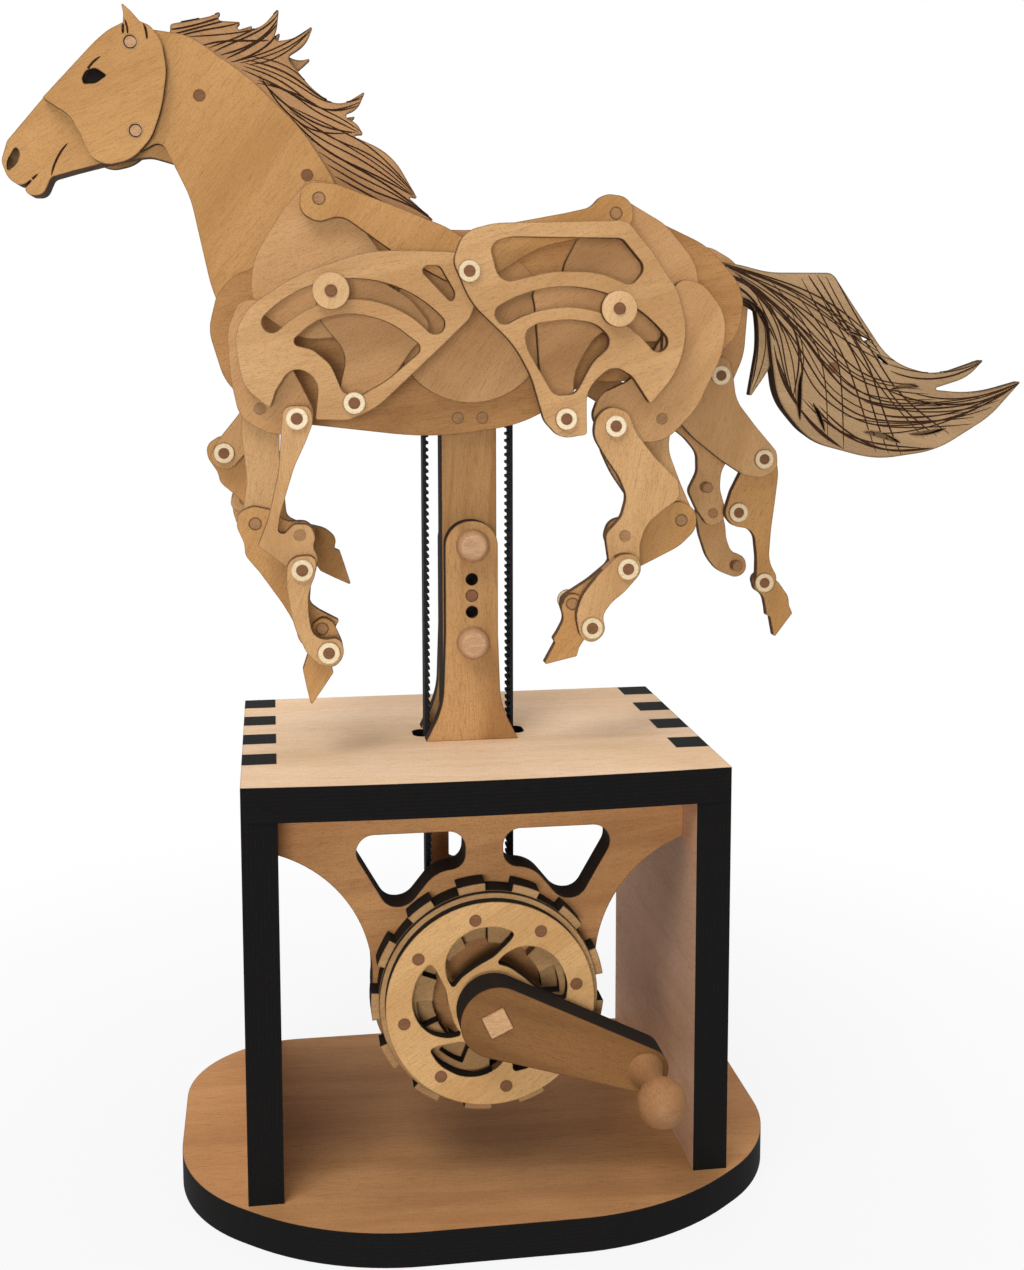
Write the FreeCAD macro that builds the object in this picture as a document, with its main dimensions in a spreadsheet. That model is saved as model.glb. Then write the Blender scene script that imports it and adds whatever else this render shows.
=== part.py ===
import FreeCAD, Part
import math
import os
import Sketcher
from FreeCAD import Placement, Rotation, Vector

# Wooden crank automaton: a walking horse on a post over an open box.
# Frame: origin under the post on the base underside, X to the right, Y away, Z up.

os.makedirs("parts", exist_ok=True)
doc = FreeCAD.newDocument("HorseAutomaton")

# ---------------------------------------------------------------- sizes (mm)
SIZES = [
    # box and base
    ("box_ply", 9.5, "thickness of base, walls, deck and hangers"),
    ("box_width", 131.0, "outside width of the box"),
    ("box_depth", 98.0, "depth of the walls"),
    ("wall_height", 104.5, "height of the walls below the deck"),
    ("deck_bow", 2.5, "bow of the deck's front edge"),
    ("base_width", 169.0, "width of the base plate"),
    ("base_front", 67.5, "front edge of the base from the post"),
    ("base_rear", 49.0, "rear edge of the base from the post"),
    ("hanger_face", 35.0, "outer face of a hanger from the post"),
    ("strap_width", 16.8, "width of the rear strap"),
    ("strap_flare", 16.0, "flare of the rear strap's head"),
    ("strap_slot", 6.0, "width of the rear strap's slot"),
    ("slot_length", 8.5, "belt slot in the deck, front to back"),
    ("slot_width", 5.6, "belt slot in the deck, across"),
    # post
    ("mast_width", 15.7, "width of the mast"),
    ("mast_ply", 10.5, "thickness of the mast"),
    ("mast_rise", 98.5, "height of the mast over the deck"),
    ("foot_ply", 5.2, "thickness of a foot plate"),
    ("foot_width", 15.0, "width of a foot plate's stem"),
    ("foot_spread", 26.6, "width of a foot plate at the deck"),
    ("foot_rise", 63.5, "height of a foot plate over the deck"),
    ("flare_height", 19.0, "height of the flared foot"),
    ("knob_rise", 28.7, "lower post knob over the deck"),
    ("knob_pitch", 28.0, "spacing of the post knobs"),
    ("knob_radius", 4.5, "radius of a post knob"),
    ("knob_length", 5.0, "length of a post knob"),
    ("stop_rise", 13.4, "tension pin over the lower post knob"),
    ("stop_pitch", 4.7, "spacing of the tension holes"),
    ("stop_radius", 1.75, "radius of a tension hole"),
    # drive
    ("axle_low", 60.4, "height of the crank shaft"),
    ("axle_rise", 119.1, "main shaft over the deck"),
    ("axle_radius", 3.1, "radius of both shafts"),
    ("square_side", 6.35, "side of the square shaft end"),
    ("square_turn", 47.0, "angle of the square end to the crank arm"),
    ("square_play", 0.05, "clearance round the square end"),
    ("square_proud", 0.3, "square end beyond the crank arm"),
    ("belt_pitch", 2.032, "pitch of the toothed belt"),
    ("belt_teeth", 38.0, "teeth of each pulley"),
    ("belt_width", 6.4, "width of the belt"),
    ("belt_back", 0.9, "thickness of the belt's back"),
    ("pulley_width", 8.0, "width of a pulley"),
    ("flange_extra", 1.2, "height of a pulley flange over the belt"),
    ("wheel_gap", 0.6, "hanger face to the wheel"),
    ("wheel_radius", 28.4, "radius of the wheel's front disc"),
    ("wheel_ply", 3.0, "thickness of the wheel's front disc"),
    ("band_radius", 29.8, "radius of the thin disc"),
    ("band_ply", 1.6, "thickness of the thin disc"),
    ("block_radius", 32.0, "tip radius of a castellated ring"),
    ("block_root", 30.0, "root radius of a castellated ring"),
    ("block_phase", 0.09, "turn of the blocks, in shares of their pitch"),
    ("bore_wide", 19.6, "bore of a castellated ring at its steps"),
    ("bore_tight", 15.2, "bore of a castellated ring between its steps"),
    ("bore_count", 8.0, "steps of a castellated ring's bore"),
    ("block_ply", 3.4, "thickness of a castellated ring"),
    ("block_count", 13.0, "blocks of a castellated ring"),
    ("dowel_circle", 23.8, "circle of the wheel's dowels"),
    ("wheel_dowels", 8.0, "dowels of the wheel"),
    ("swirl_count", 5.0, "swirl openings of the front disc"),
    ("swirl_outer", 20.7, "outer radius of the swirl openings"),
    ("swirl_hub", 11.0, "radius of the hub inside the openings"),
    ("arm_ply", 9.5, "thickness of the crank arm"),
    ("arm_gap", 2.4, "wheel face to the crank arm"),
    ("arm_length", 43.0, "crank arm, shaft to knob"),
    ("arm_hub", 9.7, "radius of the arm's hub end"),
    ("arm_tip", 6.2, "radius of the arm's knob end"),
    ("crank_turn", -21.8, "angle of the crank arm"),
    ("grip_radius", 6.4, "radius of the crank knob's ball"),
    ("grip_stem", 3.4, "radius of the crank knob's stem"),
    ("grip_length", 17.5, "arm face to the centre of the ball"),
    # horse
    ("ply", 3.0, "thickness of leg and body plates"),
    ("gap", 0.3, "gap between neighbouring plates"),
    ("core", 5.25, "half the width inside the body plates"),
    ("dowel", 1.6, "radius of the dowels"),
    ("run", 0.09, "running clearance round a dowel"),
    ("ring_radius", 2.95, "radius of a white washer"),
    ("ring_ply", 0.9, "thickness of a white washer"),
    ("washer_radius", 4.9, "radius of a wooden washer"),
    ("washer_ply", 2.2, "thickness of a wooden washer"),
    ("pin_proud", 0.4, "leg pin beyond its wooden washer"),
    ("slot_half", 2.75, "half the width of an arc slot"),
    ("disc_radius", 22.0, "radius of a crank disc"),
    ("throw", 14.1, "throw of a crank pin"),
    ("near_phase", 100.5, "angle of the near crank pin"),
    ("far_phase", 8.0, "angle of the far crank pin"),
    ("pin_short", 0.3, "clearance before an open pivot"),
    ("mane_ply", 2.2, "thickness of a mane plate"),
    ("tail_ply", 3.0, "thickness of a tail plate"),
    ("recess", 0.8, "depth of the eyes and nostrils"),
    ("shaft_seat", 1.8, "depth of the main shaft's socket in a crank disc"),
    ("cheek_dowel", 2.1, "radius of the cheek dowels"),
    # linkage, fore legs
    ("fore_pin_x", -39.5, "shoulder pin from the main shaft, across"),
    ("fore_pin_rise", 8.7, "shoulder pin over the main shaft"),
    ("fore_lever", 30.5, "shoulder pin to rocker pivot"),
    ("fore_lever_turn", -78.8, "angle of that line"),
    ("fore_horn", 25.0, "shoulder pin to rod dowel"),
    ("fore_horn_turn", 95.7, "angle of that line"),
    ("fore_rocker", 46.9, "rocker pivot to its crank end"),
    ("fore_rocker_turn", 48.6, "angle of that line"),
    ("fore_thigh", 25.2, "rocker pivot to forearm dowel"),
    ("fore_thigh_turn", 183.3, "angle of that line"),
    ("fore_offset", 10.0, "forearm dowel to link ring"),
    ("fore_offset_turn", -13.9, "angle of that line"),
    ("fore_shin", 31.2, "forearm dowel to knee"),
    ("fore_shin_turn", -93.3, "angle of that line"),
    ("fore_knee", 12.1, "knee to link dowel"),
    ("fore_knee_turn", -12.0, "angle of that line"),
    ("fore_link", 9.0, "link dowel to bow ring"),
    ("fore_link_turn", -87.5, "angle of that line"),
    ("fore_cannon", 26.9, "link dowel to hoof dowel"),
    ("fore_cannon_turn", -77.8, "angle of that line"),
    ("fore_bow", 23.6, "bow ring to hoof ring"),
    ("fore_bow_turn", -73.3, "angle of that line"),
    # linkage, hind legs
    ("hind_pin_x", 38.0, "hip pin from the main shaft, across"),
    ("hind_pin_rise", 3.9, "hip pin over the main shaft"),
    ("hind_lever", 33.0, "hip pin to rocker pivot"),
    ("hind_lever_turn", -115.4, "angle of that line"),
    ("hind_horn", 26.1, "hip pin to rod dowel"),
    ("hind_horn_turn", 88.0, "angle of that line"),
    ("hind_rocker", 47.8, "rocker pivot to its crank end"),
    ("hind_rocker_turn", 123.6, "angle of that line"),
    ("hind_thigh", 28.5, "rocker pivot to shin dowel"),
    ("hind_thigh_turn", -1.2, "angle of that line"),
    ("hind_offset", 14.8, "shin dowel to link ring"),
    ("hind_offset_turn", 185.8, "angle of that line"),
    ("hind_shin", 29.3, "shin dowel to hock"),
    ("hind_shin_turn", -78.4, "angle of that line"),
    ("hind_knee", 18.1, "hock to link dowel"),
    ("hind_knee_turn", 190.2, "angle of that line"),
    ("hind_link", 8.7, "link dowel to bow ring"),
    ("hind_link_turn", -89.3, "angle of that line"),
    ("hind_cannon", 23.8, "link dowel to hoof dowel"),
    ("hind_cannon_turn", -126.3, "angle of that line"),
    ("hind_bow", 19.0, "bow ring to hoof ring"),
    ("hind_bow_turn", -121.7, "angle of that line"),
    # pose of the far legs against the near ones
    ("far_fore_lever", 11.4, "turn of the far shoulder lever"),
    ("far_fore_thigh", -21.4, "turn of the far fore rocker"),
    ("far_fore_shin", -31.5, "turn of the far forearm"),
    ("far_fore_cannon", 10.0, "turn of the far fore cannon"),
    ("far_fore_hoof", 52.0, "turn of the far fore hoof"),
    ("far_hind_lever", 52.7, "turn of the far hip lever"),
    ("far_hind_thigh", 21.4, "turn of the far hind rocker"),
    ("far_hind_shin", 17.0, "turn of the far shin"),
    ("far_hind_cannon", 57.5, "turn of the far hind cannon"),
    ("far_hind_hoof", 40.0, "turn of the far hind hoof"),
]

sheet = doc.addObject("Spreadsheet::Sheet", "Sizes")
for row, (alias, value, note) in enumerate(SIZES, 1):
    sheet.set("A%d" % row, note)
    sheet.set("B%d" % row, str(value))
    sheet.setAlias("B%d" % row, alias)
doc.recompute()


def size(alias):
    return float(sheet.get(alias))


def step(point, length, turn):
    """The point a length away along an angle, counted from +X towards +Z."""
    angle = math.radians(turn)
    return (point[0] + length * math.cos(angle), point[1] + length * math.sin(angle))


# ------------------------------------------------------------ sketch helpers
def rounded(corners):
    """Lines and arcs of a closed outline: corners are (u, v, radius)."""
    points = [Vector(u, v, 0) for u, v, _ in corners]
    count = len(points)
    sides = [(points[(i + 1) % count] - points[i]).Length for i in range(count)]
    joins = []
    for i, (_, _, radius) in enumerate(corners):
        here = points[i]
        back = (points[i - 1] - here).normalize()
        ahead = (points[(i + 1) % count] - here).normalize()
        half = back.getAngle(ahead) / 2
        if radius <= 0 or half > 1.55:
            joins.append((here, None, here))
            continue
        cut = min(radius / math.tan(half), 0.48 * sides[i - 1], 0.48 * sides[i])
        reach = cut * math.tan(half)
        middle = (back + ahead).normalize()
        centre = here + middle * (reach / math.sin(half))
        joins.append((here + back * cut, centre - middle * reach, here + ahead * cut))
    shapes = []
    for i, (start, middle, end) in enumerate(joins):
        if middle is not None:
            shapes.append(Part.Arc(start, middle, end))
        following = joins[(i + 1) % count][0]
        if (following - end).Length > 1e-4:
            shapes.append(Part.LineSegment(end, following))
    return shapes


def belted(first, second, radius_a, radius_b):
    """Outline of a strap: two round ends joined by their common tangents."""
    line = Vector(second[0] - first[0], second[1] - first[1], 0)
    lean = math.acos((radius_a - radius_b) / line.Length)
    base = math.atan2(line.y, line.x)
    spots = []
    for centre, radius in ((first, radius_a), (second, radius_b)):
        for side in (lean, -lean):
            spots.append(Vector(centre[0] + radius * math.cos(base + side),
                                centre[1] + radius * math.sin(base + side), 0))
    rear = Vector(first[0] - radius_a * math.cos(base), first[1] - radius_a * math.sin(base), 0)
    nose = Vector(second[0] + radius_b * math.cos(base), second[1] + radius_b * math.sin(base), 0)
    return [Part.Arc(spots[0], rear, spots[1]), Part.LineSegment(spots[1], spots[3]),
            Part.Arc(spots[3], nose, spots[2]), Part.LineSegment(spots[2], spots[0])]


def arc_slot(centre, radius, half, start, end):
    """Outline of a round-ended slot that follows an arc about a centre."""
    def at(reach, angle):
        spot = step(centre, reach, angle)
        return Vector(spot[0], spot[1], 0)

    def cap(angle, outward):
        hub = at(radius, angle)
        turn = math.radians(angle + outward)
        return hub + Vector(half * math.cos(turn), half * math.sin(turn), 0)

    middle = (start + end) / 2
    return [Part.Arc(at(radius + half, start), at(radius + half, middle), at(radius + half, end)),
            Part.Arc(at(radius + half, end), cap(end, 90), at(radius - half, end)),
            Part.Arc(at(radius - half, end), at(radius - half, middle), at(radius - half, start)),
            Part.Arc(at(radius - half, start), cap(start, -90), at(radius + half, start))]


def ring_of_blocks(count, root, tip, shift):
    """Castellated edge: equal blocks and gaps, turned by a share of the pitch."""
    pitch = 2 * math.pi / count
    shapes = []
    for k in range(int(count)):
        angle = (k + shift) * pitch
        stops = [angle, angle + pitch / 4, angle + pitch / 2, angle + 3 * pitch / 4, angle + pitch]
        high = [Vector(tip * math.cos(a), tip * math.sin(a), 0) for a in stops[:3]]
        low = [Vector(root * math.cos(a), root * math.sin(a), 0) for a in stops[2:]]
        shapes.append(Part.Arc(*high))
        shapes.append(Part.LineSegment(high[2], low[0]))
        shapes.append(Part.Arc(*low))
        rise = Vector(tip * math.cos(stops[4]), tip * math.sin(stops[4]), 0)
        shapes.append(Part.LineSegment(low[2], rise))
    return shapes


# ------------------------------------------------------------ body helpers
def origin_plane(body, role):
    return [f for f in body.Origin.OriginFeatures if f.Role == role][0]


def new_sketch(body, name, role, shapes, rounds=()):
    """Sketch on an origin plane; rounds are (u, v, expression of the radius)."""
    sketch = body.newObject("Sketcher::SketchObject", name)
    sketch.AttachmentSupport = [(origin_plane(body, role), "")]
    sketch.MapMode = "FlatFace"
    for shape in shapes:
        sketch.addGeometry(shape, False)
    sketch.addConstraint([Sketcher.Constraint("Block", i) for i in range(len(shapes))])
    for u, v, radius in rounds:
        circle = sketch.addGeometry(Part.Circle(Vector(u, v, 0), Vector(0, 0, 1), 1.0), False)
        sketch.addConstraint(Sketcher.Constraint("DistanceX", circle, 3, u))
        sketch.addConstraint(Sketcher.Constraint("DistanceY", circle, 3, v))
        rule = sketch.addConstraint(Sketcher.Constraint("Radius", circle, 1.0))
        sketch.setExpression("Constraints[%d]" % rule, radius)
    return sketch


def pad(body, sketch, length, reverse=False):
    feature = body.newObject("PartDesign::Pad", sketch.Name + "_pad")
    feature.Profile = sketch
    feature.setExpression("Length", length)
    feature.Reversed = reverse
    sketch.Visibility = False
    body.Tip = feature
    return feature


def pocket(body, sketch, depth, reverse=False):
    feature = body.newObject("PartDesign::Pocket", sketch.Name + "_pocket")
    feature.Profile = sketch
    feature.setExpression("Length", depth)
    feature.Reversed = reverse
    sketch.Visibility = False
    body.Tip = feature
    return feature


def upright(label, shapes, rounds, length, back, pivot=(0.0, 0.0), turn=0.0):
    """Plate in the XZ plane whose rear face lies at y = back."""
    body = doc.addObject("PartDesign::Body", label)
    body.Label = label
    pad(body, new_sketch(body, label + "_outline", "XZ_Plane", shapes, rounds), length)
    body.Placement = stand(pivot, back, turn)
    return body


def stand(pivot, back=0.0, turn=0.0):
    return Placement(Vector(pivot[0], back, pivot[1]), Rotation(Vector(0, -1, 0), turn))


def peg(label, spot, rear, front, radius="Sizes.dowel"):
    """Round dowel along Y from y = rear forward to y = front."""
    dowel = doc.addObject("Part::Cylinder", label)
    dowel.Label = label
    dowel.setExpression("Radius", radius)
    dowel.Height = rear - front
    dowel.Placement = Placement(Vector(spot[0], rear, spot[1]), Rotation(Vector(1, 0, 0), 90))
    return dowel


def washer(label, spot, rear, outer, length, bore="Sizes.dowel"):
    """Flat ring along Y whose rear face lies at y = rear."""
    return upright(label, [], [(0, 0, outer), (0, 0, bore)], length, rear, spot)


def gather(label, pieces, placement=None):
    """One node out of pieces that share a body of the mechanism."""
    node = doc.addObject("Part::Compound", label)
    node.Label = label
    node.Links = pieces
    if placement is not None:
        node.Placement = placement
    return node


nodes = []


def keep(node):
    nodes.append(node)
    return node


# ------------------------------------------------------------- plate layers
def inner(k):
    """Distance from the middle plane to the inner face of layer k."""
    return size("core") + k * (size("ply") + size("gap"))


def back_of(side, k):
    """Y of the rear face of the plate in layer k: side -1 near, +1 far."""
    return -inner(k) if side < 0 else inner(k) + size("ply")


def span(side, start, end):
    """Rear and front Y of something that runs between two distances."""
    return (-start, -end) if side < 0 else (end, start)


def collar(side, start, thickness):
    """Rear Y of a washer whose inner face lies at a distance."""
    return -start if side < 0 else start + thickness


# ------------------------------------------------------------ box
base_top = size("box_ply")
deck_under = base_top + size("wall_height")
deck_top = deck_under + size("box_ply")
half_width = size("box_width") / 2
half_depth = size("box_depth") / 2
finger = size("box_depth") / 9
inside = half_width - size("box_ply")
main_axle = (0.0, deck_top + size("axle_rise"))
crank_axle = (0.0, size("axle_low"))


# belt: pitch line to the tooth root, play on the pulley, slot centre beyond the belt
TOOTH_DROP = 0.25
BELT_PLAY = 0.05
SLOT_SHIFT = 0.6
# hanger: radius of its round lobe, start of the lobe over the axle, fall of its
# shoulders, waist (out, down) and the window's corners (out, down, rounding)
LOBE_RADIUS = 31.0
LOBE_START = 4.0
SHOULDER_DROP = 13.6
WAIST = (37.4, 28.0)
HANGER_WINDOW = ((38.6, 9.2, 4.8), (5.0, 9.2, 6.0), (5.4, 19.6, 4.2), (13.5, 20.4, 10),
                 (21.0, 29.7, 6), (26.8, 29.7, 5))
# rear strap: height of its head's ends, slot's low end over the axle and its high
# end under the deck
STRAP_HEAD = 6.0
SLOT_LOW, SLOT_HIGH = 13.4, 10.0
# base plate: corner roundings, and the share of its reach where the front starts to curve
REAR_ROUND, SIDE_ROUND, FRONT_ROUND = 34, 46, 70
FRONT_SHARE = 0.53


def make_base():
    reach = size("base_width") / 2
    rear = size("base_rear")
    front = size("base_front")
    across, along = FRONT_SHARE * reach, FRONT_SHARE * front
    shapes = rounded([(-reach, rear, REAR_ROUND), (reach, rear, REAR_ROUND),
                      (reach, -along, SIDE_ROUND), (across, -front, FRONT_ROUND),
                      (-across, -front, FRONT_ROUND), (-reach, -along, SIDE_ROUND)])
    body = doc.addObject("PartDesign::Body", "base_plate")
    pad(body, new_sketch(body, "base_outline", "XY_Plane", shapes), "Sizes.box_ply")
    keep(body)


def make_wall(label, side):
    """Side wall with four fingers that rise through the deck."""
    body = doc.addObject("PartDesign::Body", label)
    top = size("wall_height")
    corners = [(-half_depth, 0, 0), (half_depth, 0, 0)]
    for k in (0, 2, 4, 6):
        outer = half_depth - k * finger
        corners += [(outer, top + size("box_ply"), 0), (outer - finger, top + size("box_ply"), 0),
                    (outer - finger, top, 0)]
        if k < 6:
            corners.append((outer - 2 * finger, top, 0))
    corners.append((-half_depth, top, 0))
    sketch = new_sketch(body, label + "_outline", "YZ_Plane", rounded(corners))
    pad(body, sketch, "Sizes.box_ply", side < 0)
    body.Placement = Placement(Vector(side * inside, 0, base_top), Rotation())
    keep(body)


def make_deck():
    """Deck with notches for the wall fingers, belt slots and a bowed front."""
    body = doc.addObject("PartDesign::Body", "deck")
    bow = half_depth + size("deck_bow")
    left = [(-half_width, -half_depth, 0)]
    edge = half_depth - 7 * finger
    left.append((-half_width, edge, 0))
    for k in (6, 4, 2, 0):
        outer = half_depth - k * finger
        left.append((-inside, outer - finger, 0))
        left.append((-inside, outer, 0))
        if k > 0:
            left.append((-half_width, outer, 0))
            left.append((-half_width, outer + finger, 0))
    loop = left + [(-u, v, 0) for u, v, _ in reversed(left)]
    shapes = rounded(loop)[:-1]
    shapes.append(Part.Arc(Vector(half_width, -half_depth, 0), Vector(0, -bow, 0),
                           Vector(-half_width, -half_depth, 0)))
    reach = belt_reach() + SLOT_SHIFT
    long = size("slot_length") / 2
    wide = size("slot_width") / 2
    for side in (-1, 1):
        shapes += rounded([(side * reach - wide, -long, wide), (side * reach + wide, -long, wide),
                           (side * reach + wide, long, wide), (side * reach - wide, long, wide)])
    pad(body, new_sketch(body, "deck_outline", "XY_Plane", shapes), "Sizes.box_ply")
    body.Placement = Placement(Vector(0, 0, deck_under), Rotation())
    keep(body)


def pitch_radius():
    return size("belt_teeth") * size("belt_pitch") / (2 * math.pi)


def belt_reach():
    return pitch_radius() + TOOTH_DROP + size("belt_back") / 2


def hanger_window(side):
    return rounded([(side * u, deck_under - drop, radius) for u, drop, radius in HANGER_WINDOW])


def make_hanger():
    """Front bearing plate, that hangs under the deck between the walls."""
    axle = size("axle_low")
    top = deck_under
    start = axle + LOBE_START
    shapes = []
    left = Vector(-inside, top - SHOULDER_DROP, 0)
    right = Vector(inside, top - SHOULDER_DROP, 0)
    for side, rim in ((1, right), (-1, left)):
        foot = Vector(side * LOBE_RADIUS, start, 0)
        middle = Vector(side * WAIST[0], top - WAIST[1], 0)
        shapes.append(Part.Arc(rim, middle, foot))
    low = Vector(0, axle - LOBE_RADIUS, 0)
    shapes.append(Part.Arc(Vector(LOBE_RADIUS, start, 0), low, Vector(-LOBE_RADIUS, start, 0)))
    shapes.append(Part.LineSegment(left, Vector(-inside, top, 0)))
    shapes.append(Part.LineSegment(Vector(-inside, top, 0), Vector(inside, top, 0)))
    shapes.append(Part.LineSegment(Vector(inside, top, 0), right))
    shapes += hanger_window(-1) + hanger_window(1)
    bore = (0, axle, "Sizes.axle_radius + Sizes.run")
    keep(upright("hanger_front", shapes, [bore], "Sizes.box_ply",
                 size("box_ply") - size("hanger_face")))


def make_strap():
    """Rear bearing plate: a slotted strap whose head flares to the deck."""
    axle, half = size("axle_low"), size("strap_width") / 2
    flare, top = size("strap_flare"), deck_under
    start, head = top - flare - STRAP_HEAD, half + flare
    shapes = [Part.Arc(Vector(half, axle, 0), Vector(0, axle - half, 0), Vector(-half, axle, 0)),
              Part.LineSegment(Vector(-head, top, 0), Vector(head, top, 0))]
    for side in (-1, 1):
        foot, rim = Vector(side * half, start, 0), Vector(side * head, top - STRAP_HEAD, 0)
        lean = flare * math.sqrt(0.5)
        middle = Vector(side * (head - lean), start + lean, 0)
        shapes.append(Part.LineSegment(Vector(side * half, axle, 0), foot))
        shapes.append(Part.Arc(foot, middle, rim))
        shapes.append(Part.LineSegment(rim, Vector(side * head, top, 0)))
    wide = size("strap_slot") / 2
    low, high = axle + SLOT_LOW, top - SLOT_HIGH
    shapes += rounded([(-wide, low, wide), (wide, low, wide), (wide, high, wide), (-wide, high, wide)])
    bore = (0, axle, "Sizes.axle_radius + Sizes.run")
    keep(upright("hanger_rear", shapes, [bore], "Sizes.box_ply", size("hanger_face")))


# ------------------------------------------------------------ post
# flared foot: width share at its bend, the bend's two ends and their roundings
FLARE_SHARE = 0.62
FLARE_LOW, FLARE_HIGH = 9, 12
FLARE_IN, FLARE_OUT = 30, 40
CROWN_ROUND = 2
# post knob: chamfer at its foot, height and flat of its domed end
KNOB_CHAMFER = 0.5
KNOB_DOME = 2.0
KNOB_SHOULDER = 0.6
KNOB_SLOPE = 1.8


def make_post():
    half = size("mast_width") / 2
    thick = size("mast_ply")
    low = deck_top + size("knob_rise")
    high = low + size("knob_pitch")
    stop, pitch = low + size("stop_rise"), size("stop_pitch")
    pins = [(0, low, "Sizes.dowel"), (0, high, "Sizes.dowel")]
    holes = [(0, stop + k * pitch, "Sizes.stop_radius") for k in (-1, 0, 1)]
    belly = [(u, main_axle[1] + v, "Sizes.dowel") for u, v in BELLY_PINS]
    crown = deck_top + size("mast_rise")
    shaft = rounded([(-half, deck_top, 0), (half, deck_top, 0),
                     (half, crown, CROWN_ROUND), (-half, crown, CROWN_ROUND)])
    keep(upright("mast", shaft, pins + holes + belly, "Sizes.mast_ply", thick / 2))

    stem, foot = size("foot_width") / 2, size("foot_spread") / 2
    knee = deck_top + size("flare_height")
    top = deck_top + size("foot_rise")
    bend, low_bend, high_bend = FLARE_SHARE * foot, knee - FLARE_LOW, knee + FLARE_HIGH
    outline = rounded([(-foot, deck_top, 0), (foot, deck_top, 0), (bend, low_bend, FLARE_IN),
                       (stem, high_bend, FLARE_OUT), (stem, top, stem), (-stem, top, stem),
                       (-stem, high_bend, FLARE_OUT), (-bend, low_bend, FLARE_IN)])
    plates = [upright("foot_front", outline, pins + holes, "Sizes.foot_ply", -thick / 2),
              upright("foot_rear", outline, pins + holes, "Sizes.foot_ply",
                      thick / 2 + size("foot_ply"))]
    keep(gather("post_plates", plates))

    face = thick / 2 + size("foot_ply")
    pieces = []
    for k, height in enumerate((low, high)):
        for side in (-1, 1):
            pieces.append(post_knob("knob_%d_%d" % (k, side), height, side, face))
        pieces.append(peg("post_peg_%d" % k, (0, height), face, -face))
    pieces.append(peg("tension_pin", (0, stop), face, -face, "Sizes.stop_radius - Sizes.run"))
    keep(gather("post_knobs", pieces))


def post_knob(label, height, side, face):
    """Domed wooden cap on a post peg."""
    radius, long = size("knob_radius"), size("knob_length")
    body = doc.addObject("PartDesign::Body", label)
    flat, inset = radius - KNOB_SLOPE, radius - KNOB_CHAMFER
    neck = long - KNOB_DOME
    shapes = [Part.LineSegment(Vector(0, 0, 0), Vector(inset, 0, 0)),
              Part.LineSegment(Vector(inset, 0, 0), Vector(radius, KNOB_CHAMFER, 0)),
              Part.LineSegment(Vector(radius, KNOB_CHAMFER, 0), Vector(radius, neck, 0)),
              Part.Arc(Vector(radius, neck, 0), Vector(inset, long - KNOB_SHOULDER, 0),
                       Vector(flat, long, 0)),
              Part.LineSegment(Vector(flat, long, 0), Vector(0, long, 0)),
              Part.LineSegment(Vector(0, long, 0), Vector(0, 0, 0))]
    revolve(body, shapes, label)
    body.Placement = Placement(Vector(0, side * face, height),
                               Rotation(Vector(0, 0, 1), 0 if side > 0 else 180))
    return body


def revolve(body, shapes, label):
    """Turned piece: half profile in the XY plane about its V axis (Y)."""
    sketch = new_sketch(body, label + "_profile", "XY_Plane", shapes)
    feature = body.newObject("PartDesign::Revolution", label + "_turned")
    feature.Profile = sketch
    feature.ReferenceAxis = (sketch, ["V_Axis"])
    feature.Angle = 360
    sketch.Visibility = False
    body.Tip = feature
    return feature


# ------------------------------------------------------------ crank drive
FLANGE_PLY = 0.7


def make_pulley(label, axle):
    """Toothed pulley with two flanges, bored for its shaft."""
    body = doc.addObject("PartDesign::Body", label)
    wide = size("pulley_width") / 2
    rim = pitch_radius() - TOOTH_DROP
    lip = rim + size("belt_back") + size("flange_extra")
    edge = FLANGE_PLY
    hole = size("axle_radius")
    points = [(hole, -wide), (lip, -wide), (lip, edge - wide), (rim, edge - wide),
              (rim, wide - edge), (lip, wide - edge), (lip, wide), (hole, wide)]
    shapes = rounded([(u, v, 0) for u, v in points])
    revolve(body, shapes, label)
    body.Placement = stand(axle)
    keep(body)


def make_belt():
    """Belt round both pulleys, drawn at its back and its tooth tips."""
    rim = pitch_radius() - TOOTH_DROP + BELT_PLAY
    outer = rim + size("belt_back")
    loops = (belted(crank_axle, main_axle, outer, outer)
             + belted(crank_axle, main_axle, rim, rim))
    keep(upright("belt", loops, [], "Sizes.belt_width", size("belt_width") / 2))


# opening of the wheel's disc: reach beyond its outer circle (True) or its hub
# (False), angle and rounding of each corner
SWIRL = ((True, -0.2, 71, 1.0), (True, 1.0, 85, 14), (True, 1.0, 104, 14), (True, -0.4, 120, 14),
         (True, -2.8, 134, 10), (True, -6.2, 146, 8), (False, 0.3, 155, 0.8), (False, 0.2, 135, 9),
         (False, 0.4, 108, 9), (False, 2.2, 86, 6), (True, -2.6, 73, 2))


def swirl(angle):
    """One curved opening of the wheel's front disc."""
    corners = []
    for far, extra, turn, radius in SWIRL:
        reach = size("swirl_outer" if far else "swirl_hub") + extra
        spot = step((0, 0), reach, angle + turn)
        corners.append((spot[0], spot[1], radius))
    return rounded(corners)


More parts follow.
